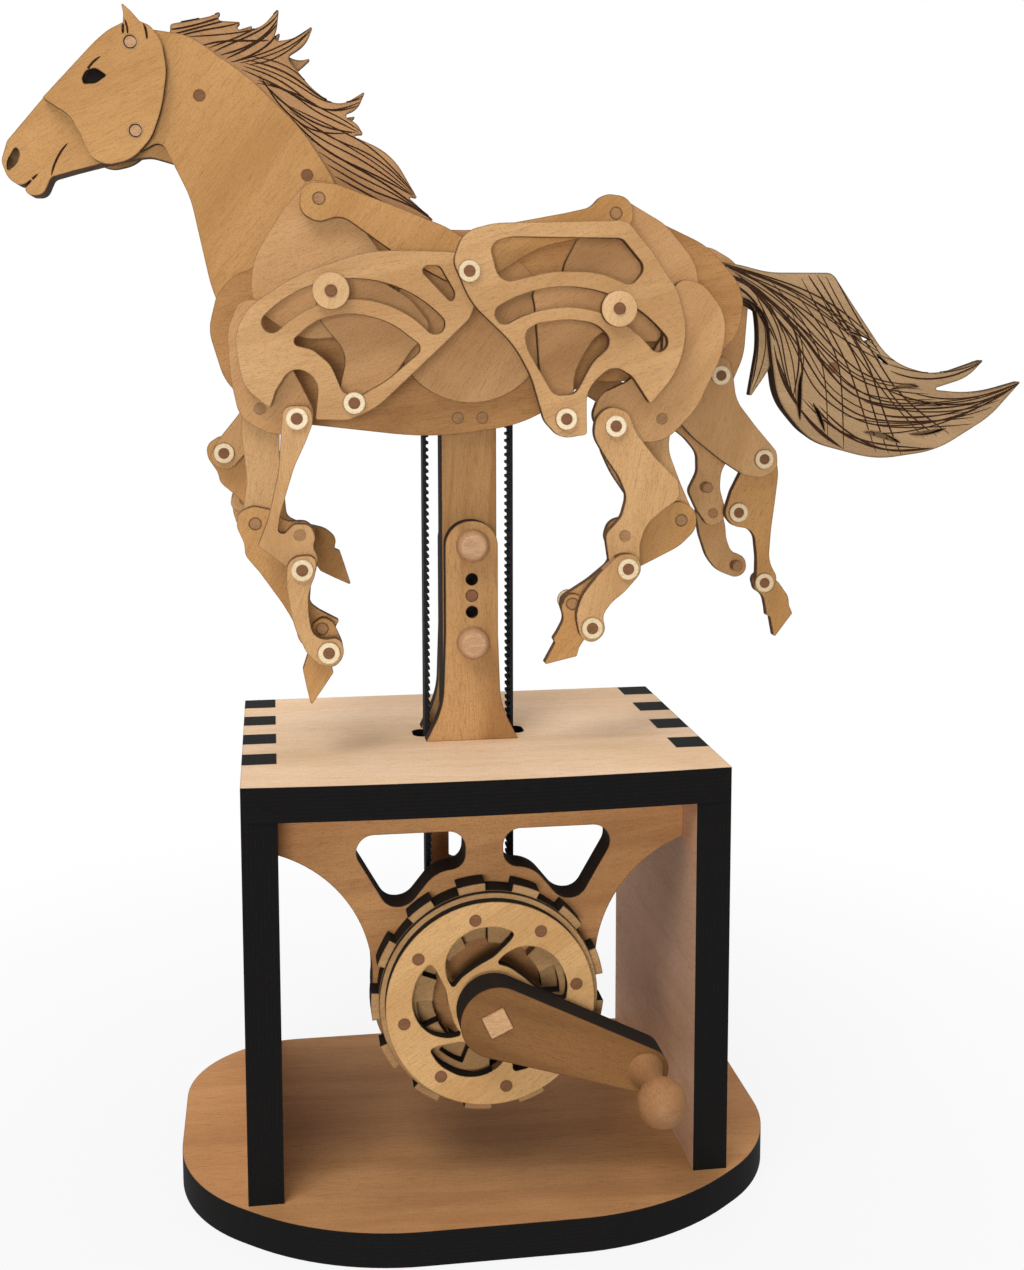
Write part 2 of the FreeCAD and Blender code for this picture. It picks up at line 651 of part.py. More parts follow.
def make_wheel():
    """Drive wheel: front disc, thin band and two castellated rings on eight dowels.

    The outer blocks of both rings line up; the steps of their bores alternate.
    """
    turn = size("crank_turn")
    count = int(size("wheel_dowels"))
    circle = [step((0, 0), size("dowel_circle"), 10 - turn + 360 / count * k) for k in range(count)]
    fits = [(u, v, "Sizes.dowel") for u, v in circle]
    blocks = -size("hanger_face") - size("wheel_gap")
    root, tip, number = size("block_root"), size("block_radius"), size("block_count")
    rings = []
    wide, tight, steps = size("bore_wide"), size("bore_tight"), size("bore_count")
    for k, shift in enumerate((0.0, 0.5)):
        outline = ring_of_blocks(number, root, tip, size("block_phase"))
        outline += ring_of_blocks(steps, tight, wide, shift)
        rings.append(upright("block_ring_%d" % k, outline, fits, "Sizes.block_ply",
                             -k * size("block_ply")))
    rings.append(upright("band_disc", [], fits + [(0, 0, "Sizes.band_radius"),
                                                  (0, 0, "Sizes.swirl_outer + 0.8")],
                         "Sizes.band_ply", -2 * size("block_ply")))
    keep(gather("wheel_rings", rings, stand(crank_axle, blocks, turn)))
    face = blocks - 2 * size("block_ply") - size("band_ply")
    openings = []
    for k in range(int(size("swirl_count"))):
        openings += swirl(360 / size("swirl_count") * k - turn)
    outline = square_end(size("square_play")) + openings
    keep(upright("wheel_face", outline, fits + [(0, 0, "Sizes.wheel_radius")],
                 "Sizes.wheel_ply", face, crank_axle, turn))
    front = face - size("wheel_ply")
    pegs = [peg("wheel_peg_%d" % k, spot, 0, front - blocks) for k, spot in enumerate(circle)]
    keep(gather("wheel_dowels", pegs, stand(crank_axle, blocks, turn)))
    return front


def square_end(play=0.0):
    """Section of the square shaft end, turned against the crank arm."""
    half = size("square_side") / 2 + play
    corners = [(-half, -half, 0), (half, -half, 0), (half, half, 0), (-half, half, 0)]
    return turned(rounded(corners), size("square_turn"))


def make_crank(wheel_front):
    """Shaft with a square end, the crank arm on it and the turned knob."""
    turn = size("crank_turn")
    arm_back = wheel_front - size("arm_gap")
    arm_front = arm_back - size("arm_ply")
    body = doc.addObject("PartDesign::Body", "crank_shaft")
    round_part = new_sketch(body, "shaft_round", "XZ_Plane", [], [(0, 0, "Sizes.axle_radius")])
    pad(body, round_part, "2 * Sizes.hanger_face + Sizes.wheel_gap").Midplane = True
    square_part = new_sketch(body, "shaft_square", "XZ_Plane", square_end())
    square_part.setExpression("AttachmentOffset.Base.z", "Sizes.hanger_face + Sizes.wheel_gap / 2")
    pad(body, square_part, "Sizes.wheel_gap / 2 + 2 * Sizes.block_ply + Sizes.band_ply"
        " + Sizes.wheel_ply + Sizes.arm_gap + Sizes.arm_ply + Sizes.square_proud")
    body.Placement = stand(crank_axle, 0, turn)
    keep(body)

    knob = (size("arm_length"), 0)
    arm = belted((0, 0), knob, size("arm_hub"), size("arm_tip"))
    keep(upright("crank_arm", arm + square_end(size("square_play")), [(*knob, "Sizes.dowel")],
                 "Sizes.arm_ply", arm_back, crank_axle, turn))

    grip = doc.addObject("PartDesign::Body", "crank_knob")
    ball, stem, reach = size("grip_radius"), size("grip_stem"), size("grip_length")
    neck = math.sqrt(ball * ball - stem * stem)
    shapes = [Part.LineSegment(Vector(0, -size("arm_ply"), 0), Vector(size("dowel"), -size("arm_ply"), 0)),
              Part.LineSegment(Vector(size("dowel"), -size("arm_ply"), 0), Vector(size("dowel"), 0, 0)),
              Part.LineSegment(Vector(size("dowel"), 0, 0), Vector(stem + 1.4, 0, 0)),
              Part.Arc(Vector(stem + 1.4, 0, 0), Vector(stem + 0.1, 0.55 * reach / 2, 0),
                       Vector(stem, reach - neck, 0)),
              Part.Arc(Vector(stem, reach - neck, 0), Vector(ball, reach, 0),
                       Vector(0, reach + ball, 0)),
              Part.LineSegment(Vector(0, reach + ball, 0), Vector(0, -size("arm_ply"), 0))]
    revolve(grip, shapes, "crank_knob")
    spot = step(crank_axle, size("arm_length"), turn)
    grip.Placement = Placement(Vector(spot[0], arm_front, spot[1]), Rotation(Vector(0, 0, 1), 180))
    keep(grip)


def turned(shapes, angle):
    """The same outline turned about the sketch origin."""
    for shape in shapes:
        shape.rotate(Placement(Vector(0, 0, 0), Rotation(Vector(0, 0, 1), angle)))
    return shapes


def make_main_shaft():
    end = inner(1) + size("shaft_seat")
    keep(peg("main_shaft", main_axle, end, -end, "Sizes.axle_radius"))
    pieces = []
    for side, phase in ((-1, size("near_phase")), (1, size("far_phase"))):
        pin = step((0, 0), size("throw"), phase)
        label = "near" if side < 0 else "far"
        rounds = [(0, 0, "Sizes.disc_radius"), (pin[0], pin[1], "Sizes.dowel")]
        disc = upright("crank_disc_" + label, [], rounds, "Sizes.ply", back_of(side, 1))
        recess(disc, [], side < 0, [(0, 0, "Sizes.axle_radius")], "Sizes.shaft_seat")
        pieces.append(disc)
        rear, front = span(side, inner(1), inner(3) - size("pin_short"))
        pieces.append(peg("crank_pin_" + label, pin, rear, front))
    keep(gather("crank_discs", pieces, stand(main_axle)))


# ------------------------------------------------------------ horse body
# Outlines and dowels of the body are counted from the main shaft, across and up.
BELLY_PINS = ((-3.5, -26.4), (3.5, -26.4))
NECK_ROOT = (-61.5, 3.9)
NECK_PINS = ((-73.5, 61.9), (-44.7, 40.9))
CHEEK_PINS = ((-91.3, 75.2), (-90.5, 51.9))
TAIL_ROOT = (74.5, 9.9)
TAIL_PIN = (108.2, -13.0)

TORSO = [(-70.0, 7.9, 8), (-72.4, -1.6, 12), (-68.0, -16.6, 14), (-54.0, -26.8, 20),
         (-10.0, -32.1, 90), (17.0, -28.1, 50), (33.0, -16.6, 14), (60.0, -16.1, 18),
         (78.4, -4.6, 14), (80.0, 9.4, 14), (69.0, 21.9, 24), (46.0, 32.4, 30), (0.0, 25.4, 90),
         (-30.0, 28.2, 30), (-52.0, 23.9, 18), (-60.0, 15.2, 8), (-65.5, 13.4, 10)]

NECK = [(-95.4, 77.2, 1), (-90.0, 79.6, 6), (-76.0, 77.9, 14), (-60.0, 66.9, 40),
        (-46.0, 53.4, 40), (-34.5, 35.4, 20), (-40.0, 19.4, 8), (-55.0, -0.6, 8),
        (-66.0, -2.6, 6), (-71.3, 9.4, 40), (-76.5, 34.4, 30), (-84.0, 49.9, 8),
        (-89.0, 46.9, 3), (-95.4, 46.9, 1)]

FACE = [(-100.5, 75.2, 20), (-114.8, 60.5, 60), (-124.6, 49.0, 3), (-126.3, 43.6, 4),
        (-124.6, 39.0, 5), (-121.2, 36.9, 3), (-116.9, 40.3, 0.3), (-120.4, 36.3, 0.8),
        (-119.4, 34.7, 1.5), (-115.6, 34.7, 3), (-113.4, 39.6, 2), (-107.0, 41.5, 20)]
SKULL = FACE + [(-100.6, 43.6, 4), (-87.0, 45.6, 8), (-80.6, 43.8, 0.6), (-77.4, 49.0, 2),
                (-82.6, 62.0, 20), (-84.4, 74.0, 8), (-88.4, 78.6, 4), (-95.0, 78.8, 6)]
MUZZLE = FACE + [(-96.1, 44.4, 0.5), (-96.1, 77.6, 0.5)]

CHEEK = [(-93.5, 85.5, 0.3), (-91.1, 83.4, 12), (-88.6, 80.6, 1), (-86.0, 79.6, 3),
         (-83.0, 75.6, 8), (-81.9, 68.0, 16), (-83.4, 58.0, 40), (-86.4, 50.0, 12),
         (-91.6, 44.2, 10), (-98.4, 42.6, 8), (-102.6, 44.6, 5), (-104.8, 50.2, 20),
         (-107.6, 55.6, 8), (-114.6, 60.1, 0.3), (-100.6, 75.1, 60), (-97.0, 78.2, 12),
         (-93.1, 80.2, 0.6), (-92.9, 82.6, 4)]
EYE = [(-104.2, 65.4, 1.2), (-103.8, 63.9, 0.6), (-100.6, 64.1, 3), (-97.6, 66.3, 0.4),
       (-100.6, 68.3, 2), (-103.2, 67.4, 1.5)]
NOSTRIL = [(-122.3, 47.9, 1.2), (-121.2, 45.8, 2), (-122.2, 43.0, 3), (-124.8, 40.8, 0.5),
           (-124.9, 43.6, 4)]

MANE_ROOT = [(-34.0, 33.0, 8), (-46.4, 36.4, 3), (-48.4, 43.0, 6), (-56.0, 54.4, 30),
             (-72.0, 68.4, 12), (-81.4, 74.6, 1)]
MANE_FRONT = MANE_ROOT + [
    (-81.0, 81.2, 1), (-70.3, 83.5, 10), (-67.2, 85.0, 0.3), (-68.6, 82.4, 1),
    (-62.0, 82.2, 0.3), (-63.6, 80.2, 1), (-56.8, 80.4, 8), (-51.6, 86.3, 0.3),
    (-52.2, 81.0, 10), (-53.6, 77.2, 2), (-47.6, 78.0, 12), (-42.3, 81.8, 0.3),
    (-44.4, 76.6, 10), (-49.8, 73.1, 1.5), (-43.2, 65.0, 20), (-36.0, 59.6, 12),
    (-28.1, 64.4, 0.3), (-30.4, 59.2, 8), (-35.2, 57.6, 1), (-30.6, 55.6, 6),
    (-28.9, 52.5, 0.3), (-32.4, 52.3, 0.8), (-21.0, 47.4, 24), (-13.8, 35.0, 0.3),
    (-17.0, 35.9, 0.6), (-8.9, 28.7, 0.3), (-20.0, 31.2, 30)]
MANE_REAR = MANE_ROOT + [
    (-81.0, 79.4, 2), (-70.0, 81.2, 10), (-63.0, 80.4, 2), (-58.8, 81.8, 0.3),
    (-60.0, 78.6, 1), (-54.8, 77.8, 6), (-51.2, 80.2, 0.3), (-52.8, 75.2, 2),
    (-46.6, 72.4, 10), (-42.6, 73.4, 0.3), (-48.0, 68.6, 2), (-42.0, 61.6, 20),
    (-37.4, 56.6, 6), (-30.6, 57.8, 0.3), (-35.4, 52.8, 2), (-28.0, 45.6, 20),
    (-17.6, 38.8, 0.3), (-24.0, 34.2, 4)]

TAIL_MAIN = [(67.6, 8.4, 3), (69.0, 18.4, 4), (79.4, 16.9, 30), (88.0, 14.7, 30),
             (107.4, 14.7, 3.5), (113.6, 5.8, 30), (126.0, -11.6, 20), (140.4, -15.6, 20),
             (155.4, -10.6, 0.3), (150.0, -16.2, 14), (138.7, -19.6, 0.4), (153.0, -21.0, 40),
             (167.3, -17.2, 0.3), (157.6, -27.8, 30), (141.0, -37.8, 30), (122.0, -40.3, 30),
             (101.6, -34.8, 20), (91.4, -22.8, 20), (89.4, -9.2, 20), (88.0, 3.0, 12),
             (80.0, 8.4, 12), (74.0, 5.2, 4)]
TAIL_LOCK = [(70.2, 7.0, 3), (71.6, 14.4, 4), (80.0, 13.4, 12), (90.0, 6.6, 12),
             (92.6, -4.0, 10), (90.0, -13.0, 20), (83.5, -22.3, 0.4), (86.2, -6.0, 30),
             (85.4, 4.6, 6), (80.4, 7.4, 6), (74.5, 6.0, 4)]
TAIL_BACK = [(69.0, 8.0, 3), (70.6, 15.4, 4), (84.0, 13.8, 20), (105.8, 13.4, 3),
             (112.6, 5.0, 20), (125.0, -12.6, 10), (137.2, -17.0, 1), (136.6, -20.6, 0.6),
             (152.6, -22.2, 30), (160.4, -21.2, 0.6), (156.4, -27.6, 24), (140.6, -36.8, 30),
             (122.0, -39.3, 30), (102.2, -34.0, 18), (92.4, -22.6, 18), (90.4, -9.2, 16),
             (87.6, 3.6, 8), (79.0, 7.0, 8)]
# openings between the locks of the tail: start, end, sag of each side
TAIL_GAPS = [((112.8, -2.3), (119.8, -4.8), 0.2, 1.3), ((121.4, -9.0), (125.3, -12.2), 0.2, 0.7),
             ((126.1, -19.5), (135.2, -18.8), 1.1, -0.1), ((134.4, -23.8), (142.5, -24.4), 0.8, 0.3),
             ((98.5, -14.1), (98.4, -28.6), 0.3, 1.0), ((102.2, -23.3), (106.1, -32.0), 0.9, 0.2),
             ((117.9, -32.0), (129.8, -35.5), 1.3, 0.1), ((132.0, -32.8), (144.0, -31.2), 0.1, 1.0)]


def fits(spots, radius="Sizes.dowel"):
    return [(u, v, radius) for u, v in spots]


def leaf(start, end, left, right):
    """Pointed opening between two spots, its sides bowed by the two sags."""
    first, last = Vector(*start, 0), Vector(*end, 0)
    across = (last - first).cross(Vector(0, 0, 1)).normalize()
    middle = (first + last) / 2
    return [Part.Arc(first, middle - across * left, last),
            Part.Arc(last, middle + across * right, first)]


def pair(label, outline, holes, layer_backs, length="Sizes.ply"):
    """The near and far copy of one body plate."""
    return [upright("%s_%s" % (label, name), rounded(outline), holes, length, back)
            for name, back in zip(("near", "far"), layer_backs)]


def make_body():
    outer = (back_of(-1, 0), back_of(1, 0))
    half = size("core") - size("ply")
    middle = (-half, size("core"))
    shoulder = (size("fore_pin_x"), size("fore_pin_rise"))
    hip = (size("hind_pin_x"), size("hind_pin_rise"))
    holes = fits((shoulder, hip) + BELLY_PINS)
    holes.append((0, 0, "Sizes.axle_radius + Sizes.run"))
    keep(gather("torso", pair("torso", TORSO, holes, outer), stand(main_axle)))

    cheek_holes = fits(CHEEK_PINS, "Sizes.cheek_dowel")
    holes = fits(NECK_PINS + (NECK_ROOT,)) + cheek_holes
    keep(gather("neck", pair("neck", NECK, holes, middle), stand(main_axle)))

    plates = pair("muzzle", MUZZLE, [], middle)
    for plate, rear in zip(plates, (False, True)):
        recess(plate, NOSTRIL, rear)
    plates.append(upright("skull", rounded(SKULL), cheek_holes, "2 * (Sizes.core - Sizes.ply)", half))
    keep(gather("head", plates, stand(main_axle)))

    plates = pair("cheek", CHEEK, cheek_holes, outer)
    for plate, rear in zip(plates, (False, True)):
        recess(plate, EYE, rear)
    end = inner(0) + size("ply")
    for k, spot in enumerate(CHEEK_PINS):
        plates.append(peg("cheek_peg_%d" % k, spot, end, -end, "Sizes.cheek_dowel"))
    keep(gather("cheeks", plates, stand(main_axle)))
    make_mane()
    make_tail()
    make_pins(shoulder, hip)


def recess(plate, outline, rear, rounds=(), depth="Sizes.recess"):
    """Shallow recess in a plate's front face, or in its rear face."""
    cut = new_sketch(plate, plate.Label + "_recess", "XZ_Plane", rounded(outline), rounds)
    if not rear:
        cut.setExpression("AttachmentOffset.Base.z", "Sizes.ply")
    pocket(plate, cut, depth, rear)


def make_mane():
    """Two tufted plates between the neck plates."""
    tie = fits(NECK_PINS[1:])
    plates = [upright("mane_front", rounded(MANE_FRONT), tie, "Sizes.mane_ply", 0.0),
              upright("mane_rear", rounded(MANE_REAR), tie, "Sizes.mane_ply", size("mane_ply"))]
    keep(gather("mane", plates, stand(main_axle)))


def make_tail():
    """Layered tail plates rooted between the body plates."""
    root, tie = fits([TAIL_ROOT]), fits([TAIL_PIN])
    thick = size("tail_ply")
    gaps = []
    for start, end, left, right in TAIL_GAPS:
        gaps += leaf(start, end, left, right)
    plates = [upright("tail_main", rounded(TAIL_MAIN) + gaps, tie + root, "Sizes.tail_ply", -thick / 2),
              upright("tail_lock", rounded(TAIL_LOCK), root, "Sizes.tail_ply", thick / 2),
              upright("tail_back", rounded(TAIL_BACK), tie + root, "Sizes.tail_ply", 3 * thick / 2),
              peg("tail_peg", TAIL_PIN, 3 * thick / 2, -3 * thick / 2)]
    keep(gather("tail", plates, stand(main_axle)))


def make_pins(shoulder, hip):
    """Dowels that carry the legs and tie the body plates, with wooden washers."""
    pieces = []
    for name, spot, layer in (("shoulder", shoulder, 6), ("hip", hip, 7)):
        end = inner(layer) + size("washer_ply") + size("pin_proud")
        pieces.append(peg(name + "_pin", spot, end, -end))
        for side in (-1, 1):
            rear = collar(side, inner(layer), size("washer_ply"))
            pieces.append(washer("%s_washer_%d" % (name, side), spot, rear,
                                 "Sizes.washer_radius", "Sizes.washer_ply"))
    end = inner(0) + size("ply")
    for k, spot in enumerate(BELLY_PINS):
        pieces.append(peg("belly_peg_%d" % k, spot, end, -end))
    for k, spot in enumerate(NECK_PINS + (NECK_ROOT, TAIL_ROOT)):
        pieces.append(peg("core_peg_%d" % k, spot, size("core"), -size("core")))
    keep(gather("body_pins", pieces, stand(main_axle)))


# ------------------------------------------------------------ legs
def linkage(kind):
    """Pivots of a leg in the near side's pose, from the lengths and angles."""
    def go(start, name):
        return step(start, size("%s_%s" % (kind, name)), size("%s_%s_turn" % (kind, name)))

    spots = {"pin": (size(kind + "_pin_x"), main_axle[1] + size(kind + "_pin_rise"))}
    spots["hub"] = go(spots["pin"], "lever")
    spots["horn"] = go(spots["pin"], "horn")
    spots["crank"] = go(spots["hub"], "rocker")
    spots["shin"] = go(spots["hub"], "thigh")
    spots["ring"] = go(spots["shin"], "offset")
    spots["knee"] = go(spots["shin"], "shin")
    spots["tie"] = go(spots["knee"], "knee")
    spots["bow"] = go(spots["tie"], "link")
    spots["hoof"] = go(spots["tie"], "cannon")
    spots["heel"] = go(spots["bow"], "bow")
    return spots


def swing(point, about, turn):
    """A point turned about another one."""
    reach = math.hypot(point[0] - about[0], point[1] - about[1])
    angle = math.degrees(math.atan2(point[1] - about[1], point[0] - about[0]))
    return step(about, reach, angle + turn)


def pose(kind, spots, side):
    """Where each moving plate's pivot is and how far it is turned."""
    turns = {name: 0.0 for name in ("lever", "thigh", "shin", "cannon", "hoof")}
    if side > 0:
        turns = {name: size("far_%s_%s" % (kind, name)) for name in turns}
    place = {"lever": (spots["pin"], turns["lever"])}

    def carried(parent, origin, name):
        base, turn = place[parent]
        shift = (spots[name][0] - origin[0] + base[0], spots[name][1] - origin[1] + base[1])
        return swing(shift, base, turn)

    place["thigh"] = (carried("lever", spots["pin"], "hub"), turns["thigh"])
    place["shin"] = (carried("thigh", spots["hub"], "shin"), turns["shin"])
    place["link"] = (carried("thigh", spots["hub"], "ring"), turns["shin"])
    place["cannon"] = (carried("shin", spots["shin"], "knee"), turns["cannon"])
    place["bow"] = (carried("link", spots["ring"], "bow"), turns["cannon"])
    place["hoof"] = (carried("cannon", spots["knee"], "hoof"), turns["hoof"])
    place["rod"] = (carried("lever", spots["pin"], "horn"), 0.35 * turns["lever"])
    return place


def local(spots, origin, corners):
    """Outline corners (pivot name, u, v, radius) seen from an origin pivot."""
    base = spots[origin]
    return rounded([(spots[name][0] + u - base[0], spots[name][1] + v - base[1], r)
                    for name, u, v, r in corners])


def seen(spots, origin, name):
    return (spots[name][0] - spots[origin][0], spots[name][1] - spots[origin][1])


RUN = "Sizes.dowel + Sizes.run"
FIT = "Sizes.dowel"

FORE = {
    "blade": [("horn", -2.6, 5.2, 4), ("horn", -9.5, -2.6, 16), ("pin", -20.6, 8.6, 20),
              ("pin", -21.4, -4, 14), ("pin", -8, -13, 14), ("pin", 10, -12, 14),
              ("pin", 17, 0, 12), ("pin", 15, 10, 16), ("horn", 8.5, -3.8, 10),
              ("horn", 4.2, 4.6, 5)],
    "arm": [("pin", -4.6, 2, 4), ("pin", -3, 6, 5), ("pin", 10, 5.2, 12), ("pin", 22, -2, 14),
            ("pin", 28.5, -10, 5), ("hub", 16.6, 14.6, 8), ("hub", 4.2, -3.0, 5),
            ("hub", -4.0, -3.6, 4), ("hub", -3.2, 5, 10), ("hub", -1.2, 13, 14),
            ("pin", -2.6, -8, 8)],
    "rod": [("horn", -4.6, 4.6, 5), ("horn", 4.6, 3.9, 8), ("horn", 19.0, -1.4, 40),
            ("crank", -5.6, 12.5, 20), ("crank", 3.6, 7.2, 5), ("crank", 3.2, -4.4, 4),
            ("crank", -5.0, -2.4, 8), ("horn", 20.5, -14.6, 40), ("horn", 5.8, -4.2, 8),
            ("horn", -0.5, -6.6, 5), ("horn", -5.4, -3.4, 4)],
    "rocker": [("hub", -31.6, 18.4, 14), ("hub", -28.0, 25.6, 16), ("hub", -15.0, 34.2, 40),
               ("hub", 4.0, 40.6, 50), ("crank", -13.4, 5.6, 40), ("crank", 1.0, 5.0, 5),
               ("crank", 4.8, -1.6, 5), ("crank", 0.4, -12.6, 3), ("hub", 24.0, 15.4, 60),
               ("hub", 6.0, -1.4, 30), ("hub", -1.6, -4.6, 5), ("hub", -10.4, -4.4, 0.6),
               ("hub", -9.2, 6.6, 7.5), ("hub", -16.4, 10.4, 5), ("hub", -20.8, 3.6, 4),
               ("hub", -22.5, -1.2, 0.6), ("hub", -29.6, 4.6, 10)],
    "fan": [("hub", -17.4, 15.9, 1.4), ("hub", -9.6, 22.6, 14), ("hub", 0.5, 24.2, 20),
            ("hub", 10.2, 21.6, 20), ("hub", 19.2, 14.6, 2), ("hub", 9.0, 6.0, 20),
            ("hub", 1.6, 1.8, 1.5), ("hub", -3.0, 2.8, 2), ("hub", -6.2, 10.4, 8),
            ("hub", -11.0, 14.4, 5)],
    "corner": [("crank", -14.0, 1.4, 1.4), ("crank", -7.6, 1.6, 2), ("crank", -3.2, -6.0, 2.5),
               ("crank", -4.4, -8.6, 2.4)],
    "slot": (43.7, 135.0),
    "crescent": [("shin", 1.5, 29.0, 4), ("shin", -4.6, 29.4, 6), ("shin", -8.4, 21.5, 16),
                 ("shin", -7.6, 8.0, 24), ("shin", -5.4, -2.6, 8), ("shin", 2.4, -6.8, 8),
                 ("ring", 1.6, -5.0, 6), ("ring", 5.6, 0.2, 5), ("ring", 1.8, 8.0, 8),
                 ("ring", -2.4, 16.0, 16), ("shin", 8.4, 27.0, 5)],
    "shin": [("shin", -3.0, 4.0, 4), ("shin", 3.6, 3.4, 4), ("shin", 5.2, -6.0, 20),
             ("shin", 5.0, -18.0, 20), ("knee", 5.4, 4.0, 6), ("knee", 4.0, -4.6, 5),
             ("knee", -3.4, -4.2, 4), ("knee", -3.3, 3.0, 10), ("knee", -2.0, 12.4, 14),
             ("knee", -2.5, 16.4, 14), ("shin", -5.1, -7.4, 10), ("shin", -4.9, -2.0, 8)],
    "link": [("ring", -3.6, 3.4, 4), ("ring", 3.6, 3.4, 4), ("ring", 4.4, -1.0, 6),
             ("ring", 2.2, -6.4, 14), ("ring", -0.9, -13.0, 20), ("tie", -5.2, 5.6, 10),
             ("tie", -5.9, 1.0, 1), ("tie", -4.2, 0.3, 1), ("tie", -1.6, 3.0, 2.5),
             ("tie", 2.8, 2.9, 3), ("tie", 4.2, -0.6, 3), ("tie", 3.4, -3.2, 3),
             ("bow", 4.4, 2.6, 3), ("bow", 3.2, -3.6, 4), ("bow", -3.0, -4.2, 4),
             ("bow", -3.9, 0.3, 3), ("tie", -10.0, -3.6, 1), ("tie", -11.2, -2.8, 0.6),
             ("tie", -8.3, 4.6, 20), ("ring", -4.9, -13.6, 30), ("ring", -4.1, -1.6, 30)],
    "cannon": [("knee", -4.8, 3.0, 4), ("knee", -0.6, 4.9, 4), ("knee", 5.4, 3.4, 4),
               ("tie", -4.0, 3.0, 6), ("tie", 2.8, 3.0, 3.5), ("tie", 4.4, -1.0, 4),
               ("tie", 3.4, -9.0, 20), ("hoof", -3.2, 6.6, 12), ("hoof", -0.6, 4.6, 8),
               ("hoof", 4.8, 1.6, 0.4), ("hoof", 3.0, -1.4, 1.5), ("hoof", 2.6, -3.4, 3),
               ("hoof", -3.2, -6.4, 4), ("hoof", -6.3, -4.0, 10), ("hoof", -7.4, 1.2, 20),
               ("hoof", -10.6, 6.8, 30), ("knee", 1.0, -13.4, 10), ("knee", -2.9, -8.6, 4),
               ("knee", -3.0, -5.4, 6), ("knee", -5.0, -0.8, 5)],
    "bow": [("bow", -4.0, 3.6, 4), ("bow", 4.0, 4.0, 4), ("bow", 3.4, -1.6, 6),
            ("bow", 1.4, -6.4, 12), ("heel", -5.2, 9.6, 14), ("heel", -4.3, 5.2, 4),
            ("heel", -1.6, 3.5, 4), ("heel", 3.2, 4.1, 3), ("heel", 4.3, -0.4, 4),
            ("heel", 1.8, -4.2, 3), ("heel", -2.6, -3.4, 4), ("heel", -6.0, 0.2, 8),
            ("heel", -9.0, 7.0, 16), ("bow", -3.2, -11.0, 16), ("bow", -4.2, -4.0, 12)],
    "hoof": [("hoof", -2.8, 1.2, 2.2), ("hoof", 0.2, 3.4, 2.4), ("hoof", 3.0, 1.8, 2.4),
             ("hoof", 5.9, -4.8, 8), ("hoof", 5.3, -9.0, 2.5), ("hoof", 2.5, -10.4, 0.6),
             ("hoof", 2.9, -12.2, 0.8), ("hoof", 0.6, -15.6, 12), ("hoof", -3.3, -21.2, 0.4),
             ("hoof", -4.5, -15.9, 20), ("hoof", -5.4, -11.2, 1.2), ("hoof", -3.9, -6.6, 8)],
}

